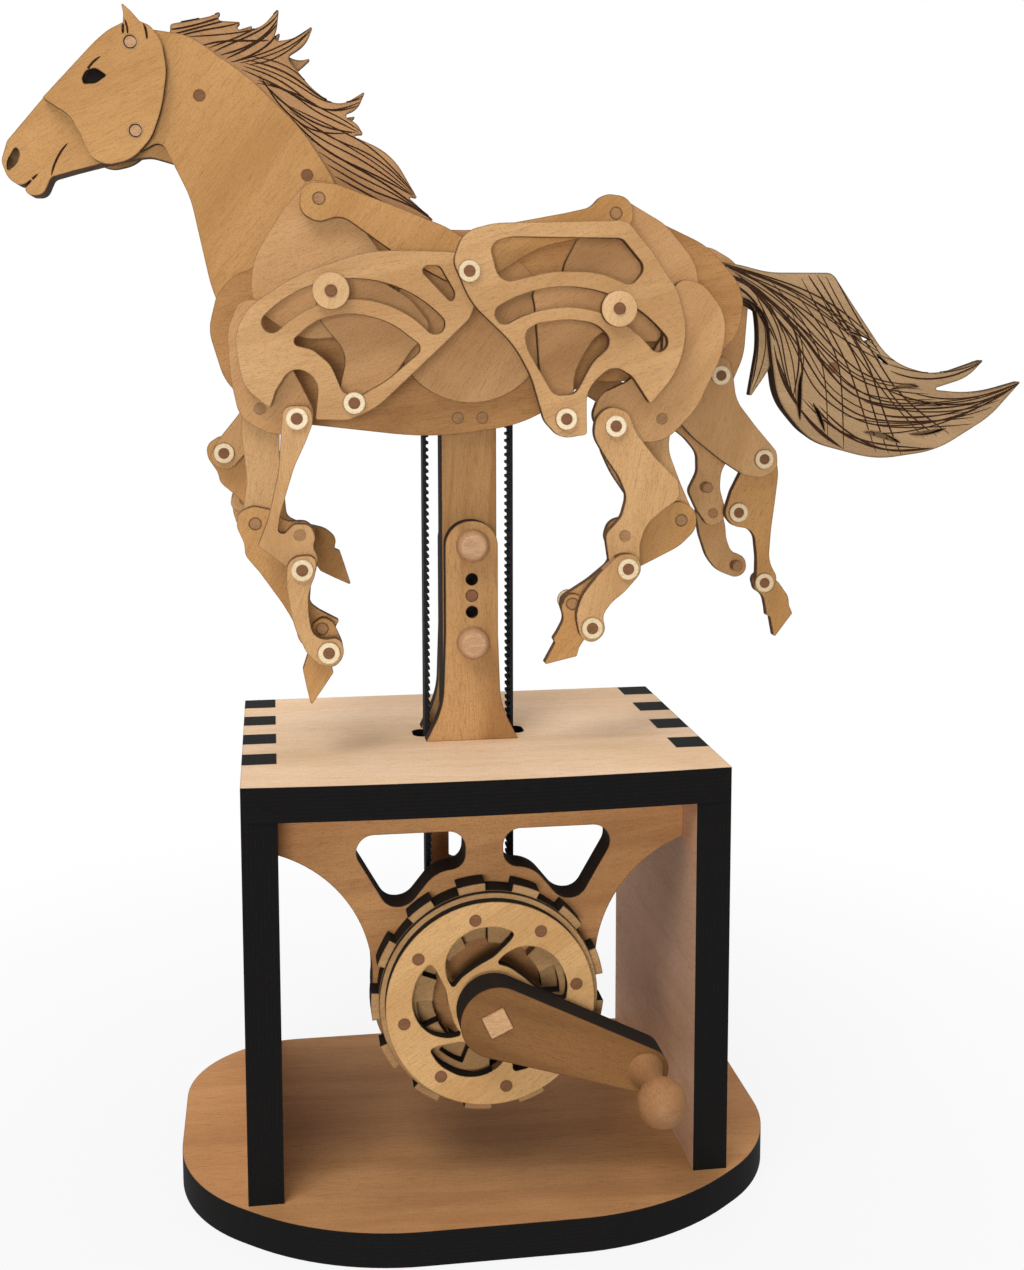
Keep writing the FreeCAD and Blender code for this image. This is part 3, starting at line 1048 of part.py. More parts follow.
HIND = {
    "blade": [("horn", -3.4, 4.2, 5), ("horn", 4.0, 4.2, 5), ("pin", 16.6, 23.6, 14),
              ("pin", 25.6, 13, 14), ("pin", 27.0, 2.0, 10), ("pin", 18, -9, 10),
              ("pin", 4, -9, 8), ("pin", -6.5, -4, 8), ("pin", -13.5, 10.0, 8),
              ("pin", -8.4, 19.6, 8)],
    "arm": [("pin", -22.0, 5.4, 3), ("pin", -10.0, 9.0, 30), ("pin", 4.0, 5.4, 5),
            ("pin", 4.6, -4.6, 5), ("pin", -3.6, -6.6, 8), ("hub", 4.0, 12.6, 14),
            ("hub", 4.2, -3.4, 4.5), ("hub", -3.8, -3.6, 4.5), ("hub", -5.6, 14.0, 30),
            ("pin", -21.0, 1.0, 20)],
    "rod": [("horn", -3.6, 5.4, 5), ("horn", 4.6, 4.4, 5), ("horn", 5.0, -4.6, 5),
            ("horn", -6.0, -6.0, 8), ("horn", -22.0, -9.4, 30), ("crank", 5.6, -2.4, 8),
            ("crank", 0.6, -5.4, 4), ("crank", -4.6, -1.8, 4), ("crank", -3.0, 5.4, 6),
            ("crank", 9.0, 12.6, 10), ("horn", -14.0, 0.0, 30), ("horn", -7.0, 1.6, 6)],
    "rocker": [("crank", -4.3, 2.6, 5), ("crank", -1.6, 10.6, 9), ("crank", 7.0, 12.8, 20),
               ("hub", 16.6, 53.6, 3), ("hub", 24.0, 45.0, 20), ("hub", 31.4, 34.0, 16),
               ("hub", 33.8, 24.0, 20), ("hub", 31.4, 13.0, 24), ("hub", 23.6, 3.8, 0.6),
               ("hub", 18.4, 11.6, 5), ("hub", 13.0, 14.6, 7), ("hub", 5.6, 8.4, 9),
               ("hub", 5.8, -4.4, 1), ("hub", -1.6, -5.4, 5), ("hub", -6.0, -0.6, 6),
               ("hub", -9.6, 11.6, 20), ("crank", 12.2, -19.6, 40), ("crank", 0.6, -8.6, 20)],
    "fan": [("hub", -11.6, 23.6, 3), ("hub", -8.0, 26.0, 8), ("hub", 0.4, 27.0, 20),
            ("hub", 8.6, 26.0, 10), ("hub", 13.4, 20.6, 3.4), ("hub", 7.4, 15.4, 10),
            ("hub", 2.6, 6.6, 3), ("hub", -3.4, 6.4, 3), ("hub", -10.6, 18.6, 12)],
    "corner": [("crank", 5.4, 7.4, 4), ("crank", 11.0, 9.2, 12), ("hub", 15.4, 48.8, 3),
               ("hub", 22.2, 40.8, 3), ("hub", 18.0, 35.8, 3), ("hub", 8.8, 39.8, 30),
               ("hub", -4.0, 39.8, 20), ("crank", 8.2, -3.4, 4)],
    "slot": (39.0, 120.6),
    "crescent": [("hub", 32.0, 38.4, 5), ("hub", 39.6, 37.2, 8), ("hub", 46.8, 28.4, 12),
                 ("hub", 46.0, 18.0, 20), ("hub", 38.4, 2.0, 20), ("shin", 1.0, -6.4, 10),
                 ("shin", -7.6, -6.6, 5), ("ring", -6.0, 0.4, 6), ("ring", -3.0, 8.4, 6),
                 ("ring", 4.6, 11.8, 4), ("hub", 23.0, 13.6, 8), ("hub", 29.6, 24.0, 12)],
    "spacer": [("hub", 27.6, 14.0, 3), ("hub", 31.2, 16.0, 3), ("hub", 32.4, 24.0, 4),
               ("hub", 29.0, 34.0, 3), ("hub", 27.8, 24.0, 6)],
    "shin": [("shin", -13.4, 2.4, 7), ("shin", -1.4, 6.4, 7), ("shin", 4.4, 4.4, 4),
             ("shin", 3.6, -2.4, 8), ("shin", 2.6, -8.8, 16), ("knee", 0.4, 10.4, 30),
             ("knee", 4.6, 1.0, 4), ("knee", 3.4, -4.6, 4), ("knee", -2.4, -5.4, 5),
             ("knee", -7.6, -2.6, 8), ("knee", -12.8, 3.6, 14), ("shin", -13.6, -15.4, 30),
             ("shin", -17.6, -6.8, 8)],
    "link": [("ring", -5.4, 2.4, 5), ("ring", -1.8, 5.6, 4.5), ("ring", 3.6, 3.8, 4),
             ("ring", 5.8, -2.0, 14), ("ring", 11.0, -8.6, 20), ("tie", 15.2, 15.0, 3),
             ("tie", 15.5, 10.2, 2.6), ("tie", 11.2, 7.3, 10), ("tie", 6.4, 3.4, 8),
             ("tie", 4.3, -2.0, 10), ("bow", 4.2, 1.2, 4), ("bow", 2.6, -3.8, 3),
             ("bow", -2.6, -3.8, 3), ("bow", -4.6, 2.4, 6), ("tie", -5.5, 0.4, 3),
             ("tie", -1.0, 5.2, 5), ("tie", 0.6, 11.0, 6), ("ring", 1.0, -13.8, 12),
             ("ring", -2.8, -8.4, 20), ("ring", -6.2, -2.6, 8)],
    "cannon": [("knee", -5.6, 3.0, 6), ("knee", -1.0, 6.0, 5), ("knee", 4.2, 3.0, 4),
               ("knee", 4.4, -2.6, 5), ("knee", -0.6, -7.4, 14), ("tie", 8.6, -8.4, 20),
               ("tie", 1.0, -12.0, 10), ("hoof", 6.4, 2.4, 20), ("hoof", 3.4, -3.4, 4),
               ("hoof", -2.6, -3.6, 3), ("hoof", -2.6, 1.2, 3), ("hoof", 5.4, 6.2, 20),
               ("tie", -1.8, -7.4, 8), ("tie", -4.4, -1.0, 4), ("tie", -3.0, 3.4, 4),
               ("tie", 4.4, 5.4, 8)],
    "bow": [("bow", -2.4, 4.0, 4), ("bow", 2.6, 4.2, 3.6), ("bow", 4.2, -0.8, 4),
            ("bow", -0.8, -6.4, 14), ("heel", 5.6, 7.0, 10), ("heel", 2.9, 3.4, 4),
            ("heel", 4.1, -1.4, 4), ("heel", 0.4, -4.4, 3.6), ("heel", -3.2, -2.8, 5),
            ("heel", -4.5, 3.8, 8), ("heel", -2.6, 9.2, 12), ("bow", -7.8, -1.0, 16)],
    "hoof": [("hoof", 2.6, 2.4, 3), ("hoof", -1.4, 2.9, 2.4), ("hoof", -3.2, -1.0, 2.4),
             ("hoof", -2.2, -4.2, 6), ("hoof", -4.1, -7.8, 8), ("hoof", -5.4, -9.8, 0.3),
             ("hoof", -4.8, -11.0, 0.3), ("hoof", -8.1, -17.0, 0.4), ("hoof", 1.3, -14.9, 0.6),
             ("hoof", 2.0, -12.4, 3), ("hoof", 3.7, -9.8, 4), ("hoof", 4.2, -4.0, 6)],
}


def make_leg(kind, side):
    """Eight nodes of one leg, each placed at its pivot and turned to its pose."""
    shapes = FORE if kind == "fore" else HIND
    spots = linkage(kind)
    place = pose(kind, spots, side)
    tag = "%s_%s" % (kind, "near" if side < 0 else "far")
    rocker_layer = 5 if kind == "fore" else 6
    rod_layer = 3 if kind == "fore" else 4
    ring = size("ring_ply")

    def plate(name, key, origin, holes, layer):
        rounds = [seen(spots, origin, spot) + (fit,) for spot, fit in holes]
        return upright("%s_%s" % (tag, name), local(spots, origin, shapes[key]), rounds,
                       "Sizes.ply", back_of(side, layer))

    def dowel(name, origin, spot, start, end):
        rear, front = span(side, start, end)
        return peg("%s_%s" % (tag, name), seen(spots, origin, spot), rear, front)

    def halo(name, origin, spot, layer, inward=False):
        """White washer on the outer face of layer - 1, or on the inner face of a layer."""
        start = inner(layer) - size("gap") if not inward else inner(layer) - ring
        return washer("%s_%s" % (tag, name), seen(spots, origin, spot),
                      collar(side, start, ring), "Sizes.ring_radius", "Sizes.ring_ply")

    def place_node(name, pieces, key):
        spot, turn = place[key]
        return keep(gather("%s_%s" % (tag, name), pieces, stand(spot, 0, turn)))

    outer = size("ply")
    lift = inner(1) - inner(0) - outer + ring
    blade = plate("blade", "blade", "pin", [("pin", RUN), ("horn", FIT)], 2)
    arm = plate("arm", "arm", "pin", [("pin", RUN), ("hub", RUN)], 3)
    horn = dowel("horn_peg", "pin", "horn", inner(2), inner(rod_layer) + outer)
    place_node("lever", [blade, arm, horn], "lever")

    rod = plate("rod_plate", "rod", "horn", [("horn", RUN), ("crank", RUN)], rod_layer)
    place_node("rod", [rod], "rod")

    rounds = [seen(spots, "hub", "hub") + (FIT,), seen(spots, "hub", "crank") + (FIT,)]
    reach = size(kind + "_lever")
    outline = (local(spots, "hub", shapes["rocker"]) + local(spots, "hub", shapes["fan"])
               + local(spots, "hub", shapes["corner"])
               + arc_slot((0, 0), reach, size("slot_half"), *shapes["slot"]))
    rocker = upright(tag + "_rocker", outline, rounds, "Sizes.ply", back_of(side, rocker_layer))
    crescent = plate("crescent", "crescent", "hub", [("shin", FIT), ("ring", FIT)], 4)
    if kind == "fore":
        way = arc_slot((0, 0), reach, size("slot_half"), 103, shapes["slot"][1])
        pocket(crescent, new_sketch(crescent, tag + "_way", "XZ_Plane", way), "Sizes.ply", True)
    pieces = [rocker, crescent]
    pieces.append(dowel("hub_peg", "hub", "hub", inner(3), inner(rocker_layer) + outer + ring))
    pieces.append(halo("hub_ring", "hub", "hub", rocker_layer + 1))
    pieces.append(dowel("shin_peg", "hub", "shin", inner(3) - ring, inner(4) + outer))
    pieces.append(halo("shin_ring", "hub", "shin", 3, True))
    pieces.append(dowel("ring_peg", "hub", "ring", inner(4), inner(6) + outer + ring))
    pieces.append(halo("ring_ring", "hub", "ring", 7))
    if kind == "hind":
        pieces.append(plate("spacer", "spacer", "hub", [], 5))
        pieces.append(halo("crank_ring", "hub", "crank", 7))
        pieces.append(dowel("crank_peg", "hub", "crank", inner(6), inner(6) + outer + ring))
    else:
        pieces.append(dowel("crank_peg", "hub", "crank", inner(5), inner(5) + outer))
    place_node("thigh", pieces, "thigh")

    shin = plate("shin_plate", "shin", "shin", [("shin", RUN), ("knee", FIT)], 3)
    pieces = [shin, dowel("knee_peg", "shin", "knee", inner(3) - ring, inner(4) + outer),
              halo("knee_ring", "shin", "knee", 3, True)]
    place_node("shin", pieces, "shin")

    link = plate("link_plate", "link", "ring", [("ring", RUN), ("tie", FIT), ("bow", FIT)], 6)
    pieces = [link, dowel("tie_peg", "ring", "tie", inner(5), inner(6) + outer),
              dowel("bow_peg", "ring", "bow", inner(6), inner(7) + outer + ring),
              halo("bow_ring", "ring", "bow", 8)]
    place_node("link", pieces, "link")

    cannon = plate("cannon_plate", "cannon", "knee",
                   [("knee", RUN), ("tie", FIT), ("hoof", FIT)], 4)
    pieces = [cannon, dowel("stub", "knee", "tie", inner(4) - ring, inner(4) + outer),
              halo("stub_ring", "knee", "tie", 4, True),
              dowel("hoof_peg", "knee", "hoof", inner(4) - ring, inner(5) + outer),
              halo("hoof_ring", "knee", "hoof", 4, True)]
    place_node("cannon", pieces, "cannon")

    bow = plate("bow_plate", "bow", "bow", [("bow", RUN), ("heel", FIT)], 7)
    pieces = [bow, dowel("heel_peg", "bow", "heel", inner(6), inner(7) + outer + ring),
              halo("heel_ring", "bow", "heel", 8)]
    place_node("bow", pieces, "bow")

    hoof = plate("hoof_plate", "hoof", "hoof", [("hoof", RUN)], 5)
    place_node("hoof", [hoof], "hoof")


make_base()
make_wall("wall_left", -1)
make_wall("wall_right", 1)
make_deck()
make_hanger()
make_strap()
make_post()
make_belt()
make_pulley("pulley_lower", crank_axle)
make_pulley("pulley_upper", main_axle)
make_crank(make_wheel())
make_main_shaft()
make_body()
for leg in ("fore", "hind"):
    for hand in (-1, 1):
        make_leg(leg, hand)

doc.recompute()
bad = [o.Label for o in doc.Objects if "Invalid" in o.State or "Error" in o.State]
if bad:
    raise RuntimeError("objects in error: %s" % bad)
bad = [n.Label for n in nodes if n.Shape.isNull() or not n.Shape.isValid()]
if bad:
    raise RuntimeError("bad shapes: %s" % bad)
for node in nodes:
    node.Shape.exportStep("parts/%s.step" % node.Label)
print(len(nodes), "nodes")
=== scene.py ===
# %% [markdown]
# # A galloping horse automaton in laser-cut ply
# The object is a crank toy: a box carries a post, the post carries a horse of flat
# ply plates, and a toothed belt takes the turn of the crank up to the horse's legs.
# The plates, shafts and rings are already exact solids in the frame, so this lesson
# keeps them where they are and gives them their finish: ply faces with burnt edges,
# turned dowels, black rubber. It adds what is too fine for a solid: the belt's teeth
# and the strands and lines that a laser engraves.

import math
import random

import bpy
from mathutils import Matrix, Vector


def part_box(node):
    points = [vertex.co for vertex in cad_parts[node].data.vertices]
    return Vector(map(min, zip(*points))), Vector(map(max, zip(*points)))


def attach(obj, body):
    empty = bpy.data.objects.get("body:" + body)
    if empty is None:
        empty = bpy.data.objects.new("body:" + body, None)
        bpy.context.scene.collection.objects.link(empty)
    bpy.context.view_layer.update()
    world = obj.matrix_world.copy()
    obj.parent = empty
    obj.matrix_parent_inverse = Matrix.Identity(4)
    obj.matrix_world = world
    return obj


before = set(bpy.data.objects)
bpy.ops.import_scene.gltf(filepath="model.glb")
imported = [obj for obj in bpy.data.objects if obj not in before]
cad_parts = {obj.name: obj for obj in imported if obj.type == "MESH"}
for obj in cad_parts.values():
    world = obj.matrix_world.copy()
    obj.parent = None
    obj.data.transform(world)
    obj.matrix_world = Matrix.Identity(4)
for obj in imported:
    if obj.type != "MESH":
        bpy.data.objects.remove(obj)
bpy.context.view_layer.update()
MM = 0.001

# %% [markdown]
# ## The places that the engraving needs
# Everything on the horse is drawn around its main shaft, so the drawings below are in
# millimetres from that shaft: across the toy first, then up. The shaft's own node
# says where it is.

# %% The main shaft's place
SHAFT_LOW, SHAFT_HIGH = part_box("main_shaft")
SHAFT_X = (SHAFT_LOW.x + SHAFT_HIGH.x) / 2
SHAFT_Z = (SHAFT_LOW.z + SHAFT_HIGH.z) / 2
print("main shaft at", round(SHAFT_X / MM, 1), round(SHAFT_Z / MM, 1), "mm")

# %% [markdown]
# ## Helpers for node trees
# A material is a small graph. Two helpers keep the cells short: one starts a material
# with a plain surface shader, the other adds a node with its settings and its inputs,
# where an input is either a value or the output of another node.


# %% Start a material and add nodes to it
def start_material(name, roughness=0.6):
    """An empty node material with one surface shader; returns it and that shader."""
    material = bpy.data.materials.new(name)
    material.use_nodes = True
    shader = material.node_tree.nodes["Principled BSDF"]
    shader.inputs["Roughness"].default_value = roughness
    shader.inputs["Specular IOR Level"].default_value = 0.15
    return material, shader


def add(tree, kind, settings=None, **inputs):
    """Adds a node; an input named by a word or by a number such as i0."""
    node = tree.nodes.new(kind)
    for key, value in (settings or {}).items():
        setattr(node, key, value)
    for key, value in inputs.items():
        socket = node.inputs[int(key[1:])] if key[0] == "i" and key[1:].isdigit() \
            else node.inputs[key.replace("_", " ")]
        if isinstance(value, bpy.types.NodeSocket):
            tree.links.new(value, socket)
        else:
            socket.default_value = value
    return node


def maths(tree, operation, *values, clamp=False):
    """A Math node's result."""
    inputs = {"i%d" % k: value for k, value in enumerate(values)}
    node = add(tree, "ShaderNodeMath", {"operation": operation, "use_clamp": clamp}, **inputs)
    return node.outputs[0]


def dot(tree, first, second):
    """The dot product of two directions."""
    node = add(tree, "ShaderNodeVectorMath", {"operation": "DOT_PRODUCT"}, i0=first, i1=second)
    return node.outputs["Value"]


def blend_colour(tree, share, first, second):
    """A colour mix: share 0 is the first colour, 1 the second."""
    node = add(tree, "ShaderNodeMix", {"data_type": "RGBA"})
    for index, value in ((0, share), (6, first), (7, second)):
        if isinstance(value, bpy.types.NodeSocket):
            tree.links.new(value, node.inputs[index])
        else:
            node.inputs[index].default_value = value
    return node.outputs[2]


def ramp(tree, value, low, high):
    """0 below low, 1 above high, smooth between."""
    node = add(tree, "ShaderNodeMapRange", {"interpolation_type": "SMOOTHSTEP"},
               i0=value, i1=low, i2=high)
    return node.outputs[0]


def part_of(tree, pattern, low, high, share):
    """How much a pattern tints: nothing below low, the whole share above high."""
    return maths(tree, "MULTIPLY", ramp(tree, pattern, low, high), share)


def seen_directly(tree):
    """1 for rays from the camera or off a gloss, 0 for rays that gather light."""
    rays = add(tree, "ShaderNodeLightPath").outputs
    some = maths(tree, "ADD", rays["Is Camera Ray"], rays["Is Glossy Ray"])
    return maths(tree, "ADD", some, rays["Is Transmission Ray"], clamp=True)


def tone(red, green, blue):
    """A colour written as it looks, 0 to 255, turned into the linear one that shaders take."""
    parts = [value / 255.0 for value in (red, green, blue)]
    linear = [p / 12.92 if p <= 0.04045 else ((p + 0.055) / 1.055) ** 2.4 for p in parts]
    return tuple(linear) + (1.0,)


def darker(colour, share):
    """A shade of a colour, a little redder as it darkens."""
    return (colour[0] * share, colour[1] * share ** 1.12, colour[2] * share ** 1.25, 1.0)


print("helpers ready")


# %% [markdown]
# ## Laser-cut ply
# Birch ply has a calm figure: broad soft bands where the peeled veneer crosses the
# growth rings, and short fine fibres along the grain. A laser leaves its edge burnt
# from brown to black, with the veneers just visible as paler lines, and scorches a
# hairline of the face along every cut. The face and the edge are one material here,
# told apart by which way the surface points: a plate lies flat across one axis of the
# toy, so a face points along it and an edge doesn't. The scorched hairline comes from
# the Bevel node: where it would round the surface off, a cut is near. The pattern reads
# object coordinates in metres, turned so the grain can run at any angle in each plate.

# %% The ply material
FACE_AXIS = {"x": (1.0, 0.0, 0.0), "y": (0.0, 1.0, 0.0), "z": (0.0, 0.0, 1.0)}
LIE_FLAT = {"x": (0.0, math.pi / 2, 0.0), "y": (math.pi / 2, 0.0, 0.0), "z": (0.0, 0.0, 0.0)}
SCORCH = tone(58, 34, 18)
SCORCH_REACH, RIM_REACH = 0.00055, 0.0004   # how far a scorch reaches from a cut, in metres
CUT_FADE = (0.02, 0.16)     # how far the rounded normal turns, from no scorch to all of it
VENEER_DEPTH = 0.0011       # from one veneer line of an edge to the next, in metres
GRAIN_DEPTH, SPECKLE_DEPTH = 0.00008, 0.00005   # how deep the relief is, in metres
EDGE_LIMIT = 0.7            # a normal nearer to the plate's axis than this is on a face
# Spots per metre, along and across the grain.
BANDS, CLOUDS, SOOT_SPOTS = (9.0, 95.0), (22.0, 30.0), (900.0, 900.0)
FIBRES, PORES = (260.0, 3400.0), (1900.0, 2900.0)


def grain_space(tree, facing, angle, shift):
    """Object coordinates laid into the plate: grain along X, thickness along Z."""
    place = add(tree, "ShaderNodeTexCoord")
    flat = add(tree, "ShaderNodeMapping", {"vector_type": "POINT"},
               Vector=place.outputs["Object"], Rotation=LIE_FLAT[facing])
    turned = add(tree, "ShaderNodeMapping", {"vector_type": "POINT"}, Vector=flat.outputs[0],
                 Rotation=(0.0, 0.0, math.radians(angle)),
                 Location=(shift, shift * 0.37, shift * 0.11))
    return turned.outputs[0]


def stretched_noise(tree, space, along, across, detail=3.0, rough=0.5, twist=0.0):
    """Noise drawn out along the grain; along and across are in spots per metre."""
    scaled = add(tree, "ShaderNodeMapping", {"vector_type": "POINT"}, Vector=space,
                 Scale=(along, across, across))
    return add(tree, "ShaderNodeTexNoise", Vector=scaled.outputs[0], Scale=1.0, Detail=detail,
               Roughness=rough, Distortion=twist).outputs["Fac"]


def near_cut(tree, normal, share, reach=SCORCH_REACH):
    """How much a spot is scorched by a cut beside it."""
    rounded = add(tree, "ShaderNodeBevel", {"samples": 4}, Radius=reach).outputs[0]
    turned_away = maths(tree, "SUBTRACT", 1.0, dot(tree, normal, rounded))
    return part_of(tree, turned_away, *CUT_FADE, share)


def ply(name, pale, deep, facing="y", angle=0.0, shift=0.0, burnt=tone(86, 60, 39),
        veneer=tone(146, 113, 80), figure=1.0, scorch=0.8, reach=SCORCH_REACH, roughness=0.6,
        veneer_share=0.6):
    """Ply with grained faces, scorched rims and burnt edges."""
    material, shader = start_material(name, roughness)
    tree = material.node_tree
    space = grain_space(tree, facing, angle, shift)
    bands = stretched_noise(tree, space, *BANDS, detail=3.0, rough=0.55, twist=0.6)
    fibres = stretched_noise(tree, space, *FIBRES, detail=2.0, rough=0.6)
    clouds = stretched_noise(tree, space, *CLOUDS, detail=2.0)
    pores = stretched_noise(tree, space, *PORES, detail=1.0)
    share = maths(tree, "ADD", part_of(tree, bands, 0.36, 0.66, 0.55 * figure),
                  part_of(tree, clouds, 0.35, 0.7, 0.45), clamp=True)
    face = blend_colour(tree, share, pale, deep)
    face = blend_colour(tree, part_of(tree, fibres, 0.48, 0.72, 0.42), face, darker(deep, 0.62))
    face = blend_colour(tree, part_of(tree, pores, 0.52, 0.68, 0.30), face, darker(deep, 0.5))
    normal = add(tree, "ShaderNodeNewGeometry").outputs["True Normal"]
    face = blend_colour(tree, near_cut(tree, normal, scorch, reach), face, SCORCH)
    upright = maths(tree, "ABSOLUTE", dot(tree, normal, FACE_AXIS[facing]))
    edge = maths(tree, "LESS_THAN", upright, EDGE_LIMIT)
    parts = add(tree, "ShaderNodeSeparateXYZ", Vector=space)
    depth = maths(tree, "MULTIPLY", parts.outputs["Z"], 2 * math.pi / VENEER_DEPTH)
    lines = ramp(tree, maths(tree, "SINE", depth), 0.1, 0.9)
    soot = stretched_noise(tree, space, *SOOT_SPOTS, detail=2.0, rough=0.6)
    lines = maths(tree, "MULTIPLY", lines, part_of(tree, soot, 0.35, 0.7, veneer_share))
    char = blend_colour(tree, lines, burnt, veneer)
    tree.links.new(blend_colour(tree, edge, face, char), shader.inputs["Base Color"])
    gloss = maths(tree, "ADD", roughness - 0.06, maths(tree, "MULTIPLY", fibres, 0.16))
    tree.links.new(maths(tree, "ADD", gloss, maths(tree, "MULTIPLY", edge, 0.25), clamp=True),
                   shader.inputs["Roughness"])
    bump = add(tree, "ShaderNodeBump", Strength=0.25, Distance=GRAIN_DEPTH, Height=fibres)
    tree.links.new(bump.outputs[0], shader.inputs["Normal"])
    return material


print("ply: a scorch of", SCORCH_REACH / MM, "mm, veneers of", VENEER_DEPTH / MM, "mm")

# %% [markdown]
# ## Turned wood, rings, rubber and metal
# Dowels and knobs are solid hardwood: their ends show end grain as rings and pores,
# their sides show fibres along the axis. The pale rings that hold the joints are wood
# as well, cut from a light veneer. The belt is black rubber, the pulleys plain grey
# metal. The end of a dowel darkens twice towards its rim: a close band of its own deep
# tone, then a wider, fainter scorch from the cut around it.

# %% The other finishes
END_PORES, END_RINGS = (2600.0, 2600.0), (240.0, 900.0)     # spots per metre, as above
SIDE_FIBRES = (2200.0, 2200.0, 160.0)       # spots per metre: across twice, then along the axis


def dowel_wood(name, side, end, facing="y", shift=0.0, roughness=0.65):
    """Solid wood turned about an axis: end grain on the ends, fibres on the sides."""
    material, shader = start_material(name, roughness)
    tree = material.node_tree
    space = grain_space(tree, facing, 0.0, shift)
    pores = stretched_noise(tree, space, *END_PORES, detail=2.0, rough=0.6)
    rings = stretched_noise(tree, space, *END_RINGS, detail=2.0, twist=1.2)
    end_tone = maths(tree, "ADD", part_of(tree, pores, 0.45, 0.7, 0.45),
                     part_of(tree, rings, 0.4, 0.65, 0.35), clamp=True)
    end_face = blend_colour(tree, end_tone, end, darker(end, 0.55))
    length = add(tree, "ShaderNodeMapping", {"vector_type": "POINT"}, Vector=space,
                 Scale=SIDE_FIBRES)
    noise = add(tree, "ShaderNodeTexNoise", Vector=length.outputs[0], Scale=1.0, Detail=2.0)
    fibres = noise.outputs["Fac"]
    side_face = blend_colour(tree, part_of(tree, fibres, 0.4, 0.7, 0.5), side, darker(side, 0.62))
    normal = add(tree, "ShaderNodeNewGeometry").outputs["True Normal"]
    rim = near_cut(tree, normal, 0.75, RIM_REACH)
    end_face = blend_colour(tree, rim, end_face, darker(end, 0.45))
    end_face = blend_colour(tree, near_cut(tree, normal, 0.7), end_face, SCORCH)
    ends = ramp(tree, maths(tree, "ABSOLUTE", dot(tree, normal, FACE_AXIS[facing])), 0.8, 0.97)
    tree.links.new(blend_colour(tree, ends, side_face, end_face), shader.inputs["Base Color"])
    bump = add(tree, "ShaderNodeBump", Strength=0.3, Distance=GRAIN_DEPTH, Height=pores)
    tree.links.new(bump.outputs[0], shader.inputs["Normal"])
    return material


def speckled(name, colour, other, spots, roughness, metal=0.0, share=0.5):
    """A plain finish with fine speckle: rubber, metal or soot."""
    material, shader = start_material(name, roughness)
    tree = material.node_tree
    place = add(tree, "ShaderNodeTexCoord").outputs["Object"]
    noise = add(tree, "ShaderNodeTexNoise", Vector=place, Scale=spots, Detail=3.0).outputs["Fac"]
    mixed = blend_colour(tree, part_of(tree, noise, 0.35, 0.7, share), colour, other)
    tree.links.new(mixed, shader.inputs["Base Color"])
    shader.inputs["Metallic"].default_value = metal
    bump = add(tree, "ShaderNodeBump", Strength=0.2, Distance=SPECKLE_DEPTH, Height=noise)
    tree.links.new(bump.outputs[0], shader.inputs["Normal"])
    return material


print("finishes: ply, turned wood and speckle")

# %% [markdown]
# ## Which finish each part gets
# One sheet of ply is never quite the colour of the next, and each plate was cut at its
# own slant, so every plate has its own grain angle and a tone from a short list. The
# rockers and shins are the palest, the post and hangers are browner, and the mane is a
# darker veneer. The wheel's rings are darker than its face, partly in their own tone and
# partly as painted shade for where they lie recessed behind the face's windows. The
# box's plates are cut at full power, so their edges are black.

# %% Tones
PALE = (tone(196, 154, 106), tone(176, 133, 86))
HONEY = (tone(189, 143, 90), tone(168, 122, 70))
SAND = (tone(192, 148, 100), tone(174, 128, 82))
AMBER = (tone(180, 133, 82), tone(154, 108, 64))
FAWN = (tone(178, 138, 99), tone(158, 118, 81))
BROWN = (tone(168, 127, 87), tone(145, 104, 68))
TAN = (tone(182, 139, 90), tone(148, 106, 62))
UMBER = (tone(180, 132, 84), tone(154, 108, 66))
COCOA = (tone(131, 91, 51), tone(106, 70, 37))
MANE = (tone(180, 137, 94), tone(158, 116, 76))
TAIL = (tone(174, 143, 106), tone(150, 120, 86))
MAPLE = (tone(230, 198, 166), tone(214, 176, 134))
BEECH = (tone(188, 139, 90), tone(160, 112, 70))
WALL = (tone(206, 164, 134), tone(184, 140, 104))
BIRCH = (tone(204, 162, 110), tone(184, 140, 88))
# The wheel's rings: darker than its face partly in their own tone and partly as painted shade for
# their recess behind the face's windows.
CORE_WITH_PAINTED_SHADE = (tone(176, 138, 94), tone(154, 116, 74))
BLACK_EDGE = tone(6, 5, 5)
BLACK_VENEER = tone(22, 17, 13)
HEAD_EDGE = (tone(76, 56, 38), tone(140, 116, 90))

LEG_TONES = {"lever": SAND, "rod": HONEY, "thigh": PALE, "shin": PALE, "link": PALE,
             "cannon": HONEY, "bow": PALE, "hoof": HONEY}
LEG_ANGLES = {"lever": 18, "rod": 40, "thigh": 12, "shin": 70, "link": 80, "cannon": 62,
              "bow": 64, "hoof": 48}
BODY_PLATES = {"torso": (AMBER, 8), "neck": (HONEY, 52), "head": (HONEY, 30),
               "cheeks": (HONEY, 24), "mane": (MANE, -32), "tail": (TAIL, -18)}
BOX_PLATES = {"base_plate": (BEECH, "z", 3), "deck": (MAPLE, "z", 2),
              "wall_left": (WALL, "x", 90), "wall_right": (WALL, "x", 88)}
POST_PLATES = {"mast": (TAN, 88), "post_plates": (TAN, 91), "hanger_front": (UMBER, 4),
               "hanger_rear": (UMBER, 3)}
# wheel_rings takes the darker ring tone, which is partly painted shade.
WHEEL_PLATES = {"wheel_face": (BIRCH, 34), "wheel_rings": (CORE_WITH_PAINTED_SHADE, 20), "crank_arm": (COCOA, -22)}
print("plates with a tone:", 4 * len(LEG_TONES) + len(BODY_PLATES) + len(BOX_PLATES)
      + len(POST_PLATES) + len(WHEEL_PLATES))

